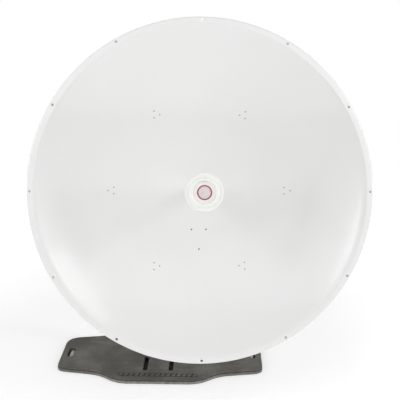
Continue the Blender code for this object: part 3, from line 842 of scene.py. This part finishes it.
FOOT_HALF = 0.440                 # half its length
FOOT_END_HALF = 0.133             # half its depth at the ends
SHOULDER = (0.255, 0.162)         # corners of its outline, along and across
BULGE = (0.170, 0.2262)
FOOT_THICKNESS = 0.020
FOOT_LIP = 0.0045                 # how far the foot's lower lip stands out past its upper edge
SLOTS = (-0.0596, 0.0496)         # places along the plate
SLOT_RADIUS = 0.0095              # half a slot's width, and of its round ends
SLOT_HALF = 0.148                 # half its length
SLOT_ROWS = 45                    # of the grid, over the slots' length
HANDLE_X = 0.399
HANDLE_HALF = np.array([0.014, 0.036])
HANDLE_CORNER = 0.008
MARGIN = 0.008                    # of the grid's fine cells round a hole
FRONT_CORNER = 0.034              # reach of the easing at the end corners
BACK_CORNER = 0.056
EASE = 0.045                      # the same at the shoulders and the bulge
TREAD = (-0.168, 0.164, -0.198, -0.174)       # ends, front and back of the tread band
RIBS = 15
HANDLES = [(-HANDLE_X, 0, 0), (HANDLE_X, 0, 0)]
HALF_TURNS = np.stack([STRAIGHT, turn("z", PI)])


def foot_half_depth(x, corner):
    """Half the plate's depth at x: along the outline's quarter, its end corner, shoulder and bulge eased."""
    quarter = [(FOOT_HALF, 0), (FOOT_HALF, FOOT_END_HALF), SHOULDER, BULGE, (0, BULGE[1])]
    line = eased_line(quarter, [0, corner, EASE, EASE, 0], 12)[1:]
    line = line[np.argsort(line[:, 0], kind="stable")]
    return np.interp(np.abs(x), line[:, 0], line[:, 1])


def foot_columns():
    """Places along the plate: even steps, finer at its ends, beside the slots and beside the handles."""
    end = FOOT_HALF - FOOT_LIP
    tip = end - BACK_CORNER * (1 - np.sin(np.linspace(0, PI / 2, 14)[1:]))
    even = np.concatenate([np.linspace(BACK_CORNER - end, end - BACK_CORNER, 110), tip, -tip])
    fine = []
    for centre, half in ((SLOTS[0], SLOT_RADIUS), (SLOTS[1], SLOT_RADIUS),
                         (-HANDLE_X, HANDLE_HALF[0]), (HANDLE_X, HANDLE_HALF[0])):
        reach = half + MARGIN
        even = even[np.abs(even - centre) > reach + 0.002]
        fine.append(centre + np.linspace(-reach, reach, 9))
    return np.sort(np.concatenate([even, *fine]))


def foot_plate():
    """Moulded plate: a grid over its outline, pierced by two slots and two handle holes, with a rim whose
    section has a groove under the top and steps out to a lower lip."""
    x = foot_columns()
    stretched = x * FOOT_HALF / (FOOT_HALF - FOOT_LIP)
    front, back = [foot_half_depth(stretched, corner) - FOOT_LIP for corner in (FRONT_CORNER, BACK_CORNER)]
    inside = (SLOT_HALF + 0.009) / (BULGE[1] - FOOT_LIP)
    beyond = np.linspace(inside, 1, 8)[1:]
    share = np.concatenate([-beyond[::-1], np.linspace(-inside, inside, SLOT_ROWS), beyond])[:, None]
    flat = np.stack([np.broadcast_to(x, (len(share), len(x))), share * np.where(share < 0, front, back)], -1)
    middle = len(share) // 2
    reach = HANDLE_HALF - HANDLE_CORNER
    holes = []
    for slot, handle in zip(SLOTS, HANDLES):
        end = np.array([slot, SLOT_HALF - SLOT_RADIUS])
        core = within(end * (1, -1), end)
        holes.append((middle, closest(x, slot), SLOT_ROWS // 2, 4, core, SLOT_RADIUS))
        column = closest(x, handle[0])
        rows = closest(flat[middle:, column, 1], HANDLE_HALF[1] + MARGIN)
        core = within(handle[:2] - reach, handle[:2] + reach)
        holes.append((middle, column, rows, 4, core, HANDLE_CORNER))
    number = np.arange(flat.shape[0] * flat.shape[1]).reshape(flat.shape[:2])
    loop = np.concatenate([number[0, :-1], number[:-1, -1], number[-1, :0:-1], number[:0:-1, 0]])
    outline = flat.reshape(-1, 2)[loop]
    rim = [(0, 0), (0.0020, 0), (0.0020, 0.0050), (-0.0030, 0.0055), (-0.0030, 0.0080), (FOOT_LIP, 0.0090),
           (FOOT_LIP, FOOT_THICKNESS), (0, FOOT_THICKNESS)]
    away = facing_out(outline)
    rings = [np.column_stack([outline + away * out, np.full(len(loop), FOOT_THICKNESS - drop)])
             for out, drop in eased_line(rim, 0.0018)[1:-1]]
    return two_faced(flat, holes, False, level(FOOT_THICKNESS), level(0.0), 0.0025, [(loop, rings)], 4)


def tread_ribs():
    """Anti-slip tread near the foot's front edge: a row of slanted, rounded ribs with gaps between."""
    pitch = (TREAD[1] - TREAD[0]) / RIBS
    half_x, half_y = pitch / 2 - 0.0026, (TREAD[3] - TREAD[2]) / 2 - 0.0022
    lean = 0.35 * half_y
    outline = eased([(half_x - lean, -half_y), (half_x + lean, half_y), (lean - half_x, half_y),
                     (-half_x - lean, -half_y)], 0.003, 3)
    middle = (TREAD[2] + TREAD[3]) / 2
    spots = [(TREAD[0] + pitch * (0.5 + i), middle, FOOT_THICKNESS) for i in range(RIBS)]
    return copies(plate(outline, 0.0026, 0.0009), spots)


def tread_shade_band():
    """Dark strip that the ribs stand on, just above the foot's top: painted shade in the gaps between the
    ribs.
    """
    low, high = FOOT_THICKNESS - 0.0008, FOOT_THICKNESS + 0.0004
    return block((TREAD[0], TREAD[2], low), (TREAD[1], TREAD[3], high), 0.0002, 0.004)


def slot_shade_liners():
    """Dark trays low in the two slots, painted shade for the shadow under the plate: half circles at a
    straight length's ends, made thick.
    """
    angle = spread(40)
    outline = (SLOT_RADIUS - GAP) * circle(angle)
    outline[:, 1] += np.sign(np.sin(angle)) * (SLOT_HALF - SLOT_RADIUS)
    return copies(plate(outline, 0.0064, 0.0006), [(slot, 0, 0.0040) for slot in SLOTS])


def handle_shade_linings():
    """Dark floor of each handle hole, painted shade where the hole lies in shadow."""
    x, y = HANDLE_HALF - GAP
    return copies(block((-x, -y, 0.0008), (x, y, 0.0036), 0.0004, HANDLE_CORNER), HANDLES, HALF_TURNS)


def handle_blocks():
    """Rounded stop in each handle hole, which leaves a gap at the plate's end and behind it; its paler
    moulding is painted light for the lit floor of the hole.
    """
    stop = block((-0.0052, -0.0340, 0.0030), (0.0128, 0.0220, 0.0160), 0.0030, 0.0075)
    return copies(stop, HANDLES, HALF_TURNS)


piece("foot_plate_fine", foot_plate(), MOULDING, "stand", "foot_plate")
piece("tread_ribs", tread_ribs(), MOULDING, "stand")
# black strip: painted shade between the tread ribs
piece("tread_shade_band", tread_shade_band(), BLACK, "stand")
# black trays: painted shade in the slots
piece("slot_shade_liners", slot_shade_liners(), BLACK, "stand")
# black linings: painted shade in the handle holes
piece("handle_shade_linings", handle_shade_linings(), BLACK, "stand")
piece("handle_blocks", handle_blocks(), MOULDING, "stand", finish=PAINTED_LIGHT_MOULDING)


# Back of the dish, in the dish's place

HUB_RADIUS = 0.060
HUB_NECK = 0.050                  # radius behind the rails
HUB_FLANGE = 0.065                # radius of the rear flange
HUB_FLANGE_FRONT = -0.063
HUB_REAR = 0.075                  # behind the vertex
PORT_RADIUS = 0.014
PORT_DEPTH = 0.018
RAIL_X = 0.085                    # of the right rail's middle
RAIL_SIDE = 0.030
RAIL_BACK = 0.036                 # behind the vertex
RAIL_HALF = 0.320                 # half its length
RING_RADIUS = 0.325
RING_SIDE = 0.030
RING_INNER, RING_OUTER = RING_RADIUS - RING_SIDE / 2, RING_RADIUS + RING_SIDE / 2
RING_BACK = -0.0057
RING_FRONT = RING_BACK + RING_SIDE
RING_FEET = 6
HUB_PLATE = (0.100, 0.075, 0.006)             # half width, half height and thickness
PLATE_BEHIND = RAIL_BACK + GAP + HUB_PLATE[2] / 2
RAIL_BOLT = headed(0.013, 0.0055, 0.0095)


def hub():
    """Turned casting behind the vertex: body, neck and a rear flange with a groove and a round port."""
    front, face = -SHEET - GAP - 0.0005, -HUB_REAR
    corners = [(TUBE_RADIUS + GAP, front), (HUB_RADIUS, front), (HUB_RADIUS, -RAIL_BACK),
               (HUB_NECK, -RAIL_BACK), (HUB_NECK, HUB_FLANGE_FRONT), (HUB_FLANGE, HUB_FLANGE_FRONT),
               (HUB_FLANGE, face), (0.046, face), (0.046, face + 0.003), (0.042, face + 0.003),
               (0.042, face), (PORT_RADIUS, face), (PORT_RADIUS, face + PORT_DEPTH),
               (AXIS, face + PORT_DEPTH)]
    return lathe(eased_line(corners, 0.0012, 3), 96)


def port_shade_lining():
    """Dark disc at the bottom of the hub's port, painted shade in the recess."""
    radius, front = PORT_RADIUS - 0.0002, PORT_DEPTH - HUB_REAR - 0.0002
    back = front - 0.0008
    return lathe([(AXIS, front), (radius, front), (radius, back), (AXIS, back)], 48)


def hub_bolts():
    """Six bolts that hold the hub's rear flange, heads towards the dish."""
    return ring_of(headed(0.008, 0.0045, 0.0078, 0.001), 6, 0.0573, HUB_FLANGE_FRONT, PI / 6)


def hub_plate():
    """Plate that ties the hub to the rails: its outline and a round hole at equal angles, joined up."""
    edge, bore, half = 0.0008, HUB_NECK + 2 * GAP, HUB_PLATE[2] / 2
    outline = np.roll(rectangle(HUB_PLATE[0], HUB_PLATE[1], 0.008, 8), -9, 0)
    around = np.arctan2(outline[0, 1], outline[0, 0]) + spread(192)
    outer, away = at_angles(outline, around), circle(around)
    inner, wide = bore * away, (bore + edge) * away
    drawn_in = outer - edge * facing_out(outer)
    shape = stacked([(drawn_in, -half), (outer, edge - half), (outer, half - edge), (drawn_in, half),
                     (wide, half), (inner, half - edge), (inner, edge - half), (wide, -half)], closed=True)
    return moved(shape, STRAIGHT, (0, 0, -PLATE_BEHIND))


def hub_plate_bolts():
    """Bolts through the plate into the rails, heads behind."""
    behind = -PLATE_BEHIND - HUB_PLATE[2] / 2
    spots = [(x, y, behind) for x in (-RAIL_X, RAIL_X) for y in (-0.058, 0, 0.058)]
    return copies(RAIL_BOLT, spots, BACKWARDS)


def back_ring():
    """Square tube bent to a circle: its section's corners are eased, and it goes round the axis."""
    section = [(RING_INNER, RING_FRONT), (RING_OUTER, RING_FRONT),
               (RING_OUTER, RING_BACK), (RING_INNER, RING_BACK)]
    return lathe(eased(section, 0.004), 192, closed=True)


def ring_bolts():
    """One bolt under each foot, through the ring from behind."""
    return ring_of(RAIL_BOLT, RING_FEET, RING_RADIUS, RING_BACK, clock_angle(PI / RING_FEET), BACKWARDS)


def ring_foot(number):
    """Cast foot: the outline of its leg and of its pad, which follows the bowl's slope, made thick."""
    slope = np.arctan(RING_RADIUS / (2 * FOCAL))
    along = circle(slope)
    across = np.array([along[1], -along[0]])
    seat = (RING_RADIUS, RING_RADIUS ** 2 / (4 * FOCAL)) + (SHEET + GAP) * across
    under = seat + 0.004 * across
    low = RING_FRONT + GAP
    inner, outer = RING_RADIUS - 0.012, RING_RADIUS + 0.012
    outline = [seat + 0.022 * along, seat - 0.022 * along, under - 0.022 * along,
               under + along * (inner - under[0]) / along[0], (inner, low), (outer, low),
               under + along * (outer - under[0]) / along[0], under + 0.022 * along]
    reach = [0.0012, 0.0012, 0.0012, 0.003, 0.002, 0.002, 0.003, 0.0012]
    upright = turn("z", clock_angle((number - 0.5) * FULL_TURN / RING_FEET)) @ turn("x", PI / 2)
    return moved(plate(eased(outline, reach, 3), 0.040, 0.0012), upright)


def rail_welds():
    """Beads on both sides of each rail where it crosses the ring, and at the ends of each lug."""
    behind, far = RING_BACK - GAP, RAIL_HALF - 0.001
    low, high = 0.002 - RAIL_BACK, RAIL_SIDE - RAIL_BACK - 0.002
    beads = []
    for side in (-1, 1):
        for x in side * RAIL_X + np.array([-1, 1]) * RAIL_SIDE / 2:
            near = np.sqrt(RING_INNER ** 2 - x ** 2) + 0.001
            beads += [weld((x, end * near, behind), (x, end * far, behind), (0, 0, 1)) for end in (-1, 1)]
        x = side * (RAIL_X + RAIL_SIDE / 2 + GAP)
        beads += [weld((x, y, low), (x, y, high)) for y in (-0.075, 0.092)]
    return merged(*beads)


# Tilt joint, in the dish's place, and pan head, in its own

THICK = 0.008                     # of lugs, ears, pan plate and ribs
LUG_INNER = RAIL_X + RAIL_SIDE / 2 + GAP
LUG_OUTER = LUG_INNER + THICK
EAR_INNER = LUG_OUTER + 0.006
EAR_OUTER = EAR_INNER + THICK
PIVOT_BORE = 0.0086               # radius of the ear's pivot hole
LOCK_ARM = 0.065                  # from the tilt axis to the lock bolt
LOCK_LEAN = np.radians(12.5)      # of that arm, from the dish's y towards its z
SWING = np.radians(17.5)          # of the lock bolt, each way from the middle of its slot
LOCK_SLOT = 0.0066                # half the slot's width
PLATE_FRONT = 0.0714              # this and the next distances are from the pole's axis
PLATE_HALF = (0.075, 0.180)
WAIST = 0.038
BEAM_NEAR = PLATE_FRONT + GAP
BEAM_DEPTH = 0.030
BEAM_FAR = BEAM_NEAR + BEAM_DEPTH
BEAM_Z = 0.110
BEAM_TALL = 0.040
BEAM_ENDS = (-0.075, 0.290)
EAR_TOP = BEAM_Z - BEAM_TALL / 2 - GAP
EAR_COLUMNS = 240                 # rays of its grid
CLAMP_Z = 0.155
CLAMP_BOLT_X = 0.056
CLAMP_BOLT_RADIUS = 0.006
SADDLE_BACK = 0.0631
SADDLE_TALL = 0.040


def lug(side):
    """Plate between a rail and the tilt pivot, with eased corners."""
    front, back = VERTEX_AHEAD - RAIL_BACK + RAIL_SIDE, VERTEX_AHEAD - RAIL_BACK
    outline = [(-0.075, front), (-0.075, back), (-0.028, 0.005), (-0.022, -0.015), (-0.010, -0.022),
               (0.068, -0.007), (0.077, 0.002), (0.075, 0.040), (0.092, back), (0.092, front)]
    middle = (side * (LUG_INNER + LUG_OUTER) / 2, 0, -VERTEX_AHEAD)
    return moved(plate(eased(outline, 0.006, 5), THICK), SIDEWAYS, middle)


def tilt_bolt(across, shank, collar, washer_radius):
    """Bolt along z through lug, collar and ear: head outside, nut inside, washers under both."""
    return merged(
        moved(headed(across, 0.0078, washer_radius, 0.0018), STRAIGHT, (0, 0, EAR_OUTER + GAP)),
        moved(headed(across, 0.0080, washer_radius, 0.0018), BACKWARDS, (0, 0, LUG_INNER - GAP)),
        lathe([(shank, EAR_OUTER + 0.002), (shank, LUG_INNER - 0.002)], 32),
        thread(shank, LUG_INNER - 0.014, LUG_INNER - 0.009),
        washer(shank, collar, LUG_OUTER + GAP, EAR_INNER - GAP))


def at_side(shape, side, y=0.0, z=0.0):
    """A tilt bolt at (y, z) from the tilt axis, pointing outwards on its side."""
    return moved(shape, frames_on([(side, 0, 0)])[0], (0, y, z - VERTEX_AHEAD))


def ear(side):
    """Ear on a grid of rays from the pivot hole to the outline, pierced by the lock bolt's arc slot."""
    back, front = -PIVOT[1] - BEAM_NEAR, -PIVOT[1] - BEAM_FAR
    corners = [(front, -EAR_TOP), (back, -EAR_TOP), (back, EAR_TOP), (-0.022, EAR_TOP),
               (-0.036, EAR_TOP - 0.014), (-0.036, -0.030), (-0.016, -0.052)]
    outline = eased(corners, [0.002, 0.002, 0.002, 0.003, 0.006, 0.006, 0.010], 6)
    around = PI / 2 + spread(EAR_COLUMNS)
    share = np.linspace(0, 1, 25)[:, None, None]
    flat = (1 - share) * PIVOT_BORE * circle(around) + share * at_angles(outline, around)

    def nearest(points):
        """Nearest point of the arc that the lock bolt's middle swings through."""
        lean = np.arctan2(points[:, 1], points[:, 0])
        return LOCK_ARM * circle(np.clip(lean, PI / 2 - SWING, PI / 2 + SWING))

    column = np.arange(EAR_COLUMNS)
    shape = two_faced(flat, [(16, 0, 3, 20, nearest, LOCK_SLOT)], True, level(THICK / 2), level(-THICK / 2),
                      HOLE_EDGE, [(column[::-1], []), ((len(share) - 1) * EAR_COLUMNS + column, [])])
    return moved(shape, SIDEWAYS, (PIVOT[0] + side * (EAR_INNER + EAR_OUTER) / 2, PIVOT[1], 0))


def pan_plate():
    """Waisted plate in front of the pole, with eased corners."""
    half_x, half_z = PLATE_HALF
    waist = BEAM_Z - BEAM_TALL / 2 - 0.004
    right = [(half_x, -half_z), (half_x, -waist - 0.004), (WAIST, -waist + 0.010), (WAIST, waist - 0.010),
             (half_x, waist + 0.004), (half_x, half_z)]
    outline = eased(mirrored(right), [0.008, 0.003, 0.010, 0.010, 0.003, 0.008] * 2)
    return moved(plate(outline, THICK), turn("x", PI / 2), (0, THICK / 2 - PLATE_FRONT, 0))


def clamp_block(end, side):
    """Cast saddle or jaw: its flat back, its two wings and the V that grips the pole, with eased corners."""
    root = (POLE_RADIUS + GAP) * np.sqrt(2)
    horn = root - 0.030
    half = [(0.072, -SADDLE_BACK), (0.072, -0.050), (0.042, -0.050), (0.036, -horn), (0.030, -horn)]
    reach = [0.003, 0.004, 0.006, 0.0025, 0.001, 0.0008, 0.001, 0.0025, 0.006, 0.004, 0.003]
    shape = plate(eased(mirrored(half, (0, -root)), reach), SADDLE_TALL, 0.0018)
    return moved(shape, turn("z", 0 if side < 0 else PI), (0, 0, end * CLAMP_Z))


def clamp_bolt(number):
    """Bolt through plate, saddle and jaw: head in front of the plate, nut and thread behind the jaw."""
    x = -CLAMP_BOLT_X if number % 2 else CLAMP_BOLT_X
    z = CLAMP_Z if number < 3 else -CLAMP_Z
    shape = merged(moved(headed(0.017, 0.0062, 0.0103), BACKWARDS, (0, 0, -PLATE_FRONT - GAP)),
                   moved(headed(0.017, 0.0085, 0.0103), STRAIGHT, (0, 0, SADDLE_BACK + GAP)),
                   thread(CLAMP_BOLT_RADIUS, -PLATE_FRONT, SADDLE_BACK + 0.022))
    return moved(shape, frames_on([(0, 1, 0)])[0], (x, 0, z))


def pan_welds():
    """Beads along the beams on the plate, and where the ears meet the beams and the plate."""
    y = -BEAM_NEAR
    beads = []
    for end in (-1, 1):
        for z in end * BEAM_Z + np.array([-1, 1]) * BEAM_TALL / 2:
            beads.append(weld((BEAM_ENDS[0] + 0.004, y, z), (PLATE_HALF[0] - 0.001, y, z), size=BIG_WELD))
        z = end * EAR_TOP
        for x in PIVOT[0] + np.array([-1, 1]) * EAR_OUTER:
            beads.append(weld((x, 0.002 - BEAM_FAR, z), (x, y - 0.002, z), (0, 0, 1)))
    x = PIVOT[0] - EAR_OUTER
    beads.append(weld((x, y, -0.080), (x, y, 0.080)))
    return merged(*beads)


# Pole and socket, in the stand's place

POLE_RADIUS = 0.038
POLE_TOP = 1.007
FLANGE = (0.085, 0.050, 0.010)    # the socket flange's half width, half depth and thickness
FLANGE_NARROW = (0.050, 0.030)    # where its ends start to narrow, and half their depth
FLANGE_LOW = FOOT_THICKNESS + GAP
SOCKET_LOW = FLANGE_LOW + FLANGE[2] + GAP
SOCKET_HIGH = SOCKET_LOW + 0.110
SOCKET_RADIUS = POLE_RADIUS + GAP + 0.007
RIB_NEAR = SOCKET_RADIUS + GAP


def socket_flange():
    """Plate under the pole's socket: an outline that narrows towards both ends, with eased corners."""
    half_x, half_y, thickness = FLANGE
    from_x, end_y = FLANGE_NARROW
    right = [(from_x, -half_y), (half_x, -end_y), (half_x, end_y), (from_x, half_y)]
    outline = eased(right + [(-x, -y) for x, y in right], 0.012, 5)
    return moved(plate(outline, thickness), STRAIGHT, (0, 0, FLANGE_LOW + thickness / 2))


def flange_bolts():
    """Four bolts that hold the flange down through the foot's slots."""
    spots = [(x, y, FLANGE_LOW + FLANGE[2]) for x in SLOTS for y in (-0.028, 0.028)]
    return copies(headed(0.017, 0.0075, 0.0115, 0.0018), spots)


def pole_socket():
    """Sleeve round the pole's foot: a turned wall with eased rims."""
    inner, outer = POLE_RADIUS + GAP, SOCKET_RADIUS
    wall = [(inner, SOCKET_HIGH), (outer, SOCKET_HIGH), (outer, SOCKET_LOW), (inner, SOCKET_LOW)]
    return lathe(eased(wall, 0.0014, 3), 96, closed=True)


def rib(side):
    """Web between the socket and the flange."""
    far, high = FLANGE[0] - 0.004, SOCKET_HIGH - 0.008
    outline = [(RIB_NEAR, SOCKET_LOW), (far, SOCKET_LOW), (far, SOCKET_LOW + 0.012),
               (RIB_NEAR + 0.006, high), (RIB_NEAR, high)]
    upright = turn("z", 0 if side > 0 else PI) @ turn("x", PI / 2)
    return moved(plate(eased(outline, [0.001, 0.001, 0.005, 0.003, 0.001], 3), THICK), upright)


def stand_welds():
    """Beads round the socket's foot, up and along both sides of the ribs."""
    beads = [round_weld(SOCKET_RADIUS, SOCKET_LOW)]
    for side in (-1, 1):
        for y in (-THICK / 2, THICK / 2):
            near, far = side * (RIB_NEAR + 0.002), side * (FLANGE[0] - 0.005)
            beads.append(weld((near, y, SOCKET_LOW), (far, y, SOCKET_LOW)))
            x = side * (SOCKET_RADIUS - 0.0002)
            beads.append(weld((x, y, SOCKET_LOW + 0.003), (x, y, SOCKET_HIGH - 0.010)))
    return merged(*beads)


def stand_pole():
    """Round bar from the flange to the cap."""
    wall = [(AXIS, POLE_TOP), (POLE_RADIUS, POLE_TOP), (POLE_RADIUS, SOCKET_LOW), (AXIS, SOCKET_LOW)]
    return lathe(eased_line(wall, 0.0015, 3), 128)


def pole_cap():
    """Moulded cap: a skirt with a small rim, and a dome."""
    base = POLE_TOP + GAP
    corners = [(AXIS, base + 0.018), (0.022, base + 0.0172), (0.0345, base + 0.0135),
               (0.0385, base + 0.0090), (0.0385, base + 0.0035), (0.0405, base + 0.0035), (0.0405, base),
               (AXIS, base)]
    return lathe(eased_line(corners, 0.0022), 96)


piece("hub_casting", hub(), CAST, "dish", "hub")
# black disc: painted shade at the bottom of the hub's port
piece("hub_port_shade_lining", port_shade_lining(), BLACK, "dish")
piece("hub_flange_bolts", hub_bolts(), BRIGHT, "dish")
piece("hub_plate_cut", hub_plate(), ZINC, "dish", "hub_plate")
piece("hub_plate_bolts", hub_plate_bolts(), BRIGHT, "dish")
piece("back_ring_tube", back_ring(), ZINC, "dish", "back_ring")
piece("ring_bolts", ring_bolts(), BRIGHT, "dish")
for number in range(1, RING_FEET + 1):
    piece(f"ring_foot_cast_{number}", ring_foot(number), CAST, "dish", f"ring_foot_{number}")
piece("rail_welds", rail_welds(), ZINC, "dish")
RAIL = (RAIL_SIDE, RAIL_SIDE, 2 * RAIL_HALF)
PIVOT_BOLT = tilt_bolt(0.024, 0.008, 0.016, 0.0155)
LOCK_BOLT = tilt_bolt(0.017, 0.006, 0.011, 0.0120)
for name, side in (("left", -1), ("right", 1)):
    place = (turn("x", -PI / 2), (side * RAIL_X, -RAIL_HALF, RAIL_SIDE / 2 - RAIL_BACK))
    piece(f"{name}_rail_tube", moved(hollow_bar(*RAIL), *place), ZINC, "dish", f"{name}_rail")
    piece(f"{name}_rail_plugs", moved(bar_caps(*RAIL), *place), BLACK, "dish")
    piece(f"{name}_lug_plate", lug(side), ZINC, "dish", f"{name}_lug")
    piece(f"{name}_pivot_bolt", at_side(PIVOT_BOLT, side), BRIGHT, "dish", f"{name}_pivot")
    piece(f"{name}_lock_bolt_set", at_side(LOCK_BOLT, side, *LOCK_ARM * circle(LOCK_LEAN)), BRIGHT, "dish",
          f"{name}_lock_bolt")
    piece(f"{name}_ear_plate", ear(side), ZINC, "pan_head", f"{name}_ear")
    piece(f"{name}_rib_web", rib(side), ZINC, "stand", f"{name}_rib")
piece("pan_plate_cut", pan_plate(), ZINC, "pan_head", "pan_plate")
piece("pan_welds", pan_welds(), ZINC, "pan_head")
BEAM = (BEAM_DEPTH, BEAM_TALL, BEAM_ENDS[1] - BEAM_ENDS[0])
for name, end in (("lower", -1), ("upper", 1)):
    place = (LYING, (BEAM_ENDS[0], -(BEAM_NEAR + BEAM_FAR) / 2, end * BEAM_Z))
    piece(f"{name}_beam_tube", moved(hollow_bar(*BEAM), *place), ZINC, "pan_head", f"{name}_beam")
    piece(f"{name}_beam_plugs", moved(bar_caps(*BEAM), *place), BLACK, "pan_head")
    piece(f"{name}_saddle_cast", clamp_block(end, -1), CAST, "pan_head", f"{name}_saddle")
    piece(f"{name}_jaw_cast", clamp_block(end, 1), CAST, "pan_head", f"{name}_jaw")
for number in range(1, 5):
    piece(f"clamp_bolt_set_{number}", clamp_bolt(number), BRIGHT, "pan_head", f"clamp_bolt_{number}")
piece("socket_flange_plate", socket_flange(), ZINC, "stand", "socket_flange")
piece("flange_bolts", flange_bolts(), BRIGHT, "stand")
piece("pole_socket_sleeve", pole_socket(), ZINC, "stand", "pole_socket")
piece("stand_welds", stand_welds(), ZINC, "stand")
piece("stand_pole_tube", stand_pole(), ZINC, "stand", "stand_pole")
piece("pole_cap_moulded", pole_cap(), BLACK, "stand", "pole_cap")


# Floor, light and camera

PICTURE_SIDE = 400                # pixels
FOCAL_PIXELS = 725
SENSOR = 36                       # millimetres
CAMERA_PLACE = (0.004, -2.871, 1.604)
CAMERA_YAW = np.radians(-3.32)
CAMERA_PITCH = np.radians(17.02)
SKY = (0.42, 0.50)                # strength of the light from below and from overhead
GLOW = (0.30, 0.75)               # of the floor, near and far
FLOOR_RADIUS = 3.2
LAMP_DISTANCE = 3.0               # from the dish's middle
DISH_MIDDLE = DISH[1] + 0.2 * TILTED[:, 2]    # 0.2 m in front of the vertex


def floor():
    """Round pale floor with a faint glow of its own, stronger with the distance from the object."""
    rim = FLOOR_RADIUS * circle(spread(96))
    mesh = bpy.data.meshes.new("floor")
    mesh.from_pydata([(x, y, 0) for x, y in rim.tolist()], [], [tuple(range(len(rim)))])
    pale = Finish("pale_floor", (0.9, 0.9, 0.9), 0.9, Specular_IOR_Level=0.1, Emission_Color=(1, 1, 1, 1))
    distance = pale.add("ShaderNodeVectorMath", {"operation": "LENGTH"}, i0=pale.place).outputs["Value"]
    pale.fill("Emission Strength", pale.ranged(distance, (0.8, FLOOR_RADIUS), GLOW))
    mesh.materials.append(pale.material)
    made = linked("floor", mesh)


def lamp(name, off_axis, clock, size, power):
    """Rectangular lamp that faces the dish's middle, at an angle off the dish's axis and a clock angle round
    it, with its second side across the radius."""
    lean, clock = np.radians(off_axis), np.radians(clock)
    ahead = np.array([np.sin(lean) * np.sin(clock), np.sin(lean) * np.cos(clock), np.cos(lean)])
    across = np.array([np.cos(clock), -np.sin(clock), 0])
    aim = DISH[0] @ np.stack([np.cross(across, ahead), across, ahead], -1)
    data = bpy.data.lights.new(name, "AREA")
    data.shape = "RECTANGLE"
    data.size, data.size_y = size
    data.energy = power
    made = linked(name, data)
    made.location = DISH_MIDDLE + LAMP_DISTANCE * aim[:, 2]
    made.rotation_euler = Matrix(aim.tolist()).to_euler()


def surroundings():
    """Pale sky: white to the camera; as light it is weaker, and rises from below the horizon upwards."""
    world = bpy.data.worlds.new("studio")
    bpy.context.scene.world = world
    world.use_nodes = True
    sky = Nodes(world.node_tree, "Generated")
    rising = sky.ranged(sky.height(), (-0.3, 0.7), SKY)
    seen = sky.add("ShaderNodeLightPath").outputs["Is Camera Ray"]
    background = sky.tree.nodes["Background"]
    sky.put((1, 1, 1, 1), background.inputs["Color"])
    sky.put(sky.ranged(seen, (0.0, 1.0), (rising, 1.0)), background.inputs["Strength"])


def camera():
    """Camera at the photograph's angle: yaw about z, then pitch down, no roll."""
    data = bpy.data.cameras.new("camera")
    data.sensor_width = SENSOR
    data.lens = SENSOR * FOCAL_PIXELS / PICTURE_SIDE
    made = linked("camera", data)
    made.location = CAMERA_PLACE
    made.rotation_euler = (PI / 2 - CAMERA_PITCH, 0, CAMERA_YAW)
    bpy.context.scene.camera = made


bpy.context.scene.view_settings.view_transform = "Standard"
floor()
surroundings()
camera()
lamp("right_side", 67, 76, (0.6, 1.6), 26)
lamp("left_side", 62, 290, (0.7, 1.6), 17)
lamp("right_strip", 58.5, 57, (0.36, 1.4), 6)
lamp("left_strip", 53.5, 290, (0.20, 2.2), 10)
lamp("front", 30, 0, (1.6, 6.0), 26)
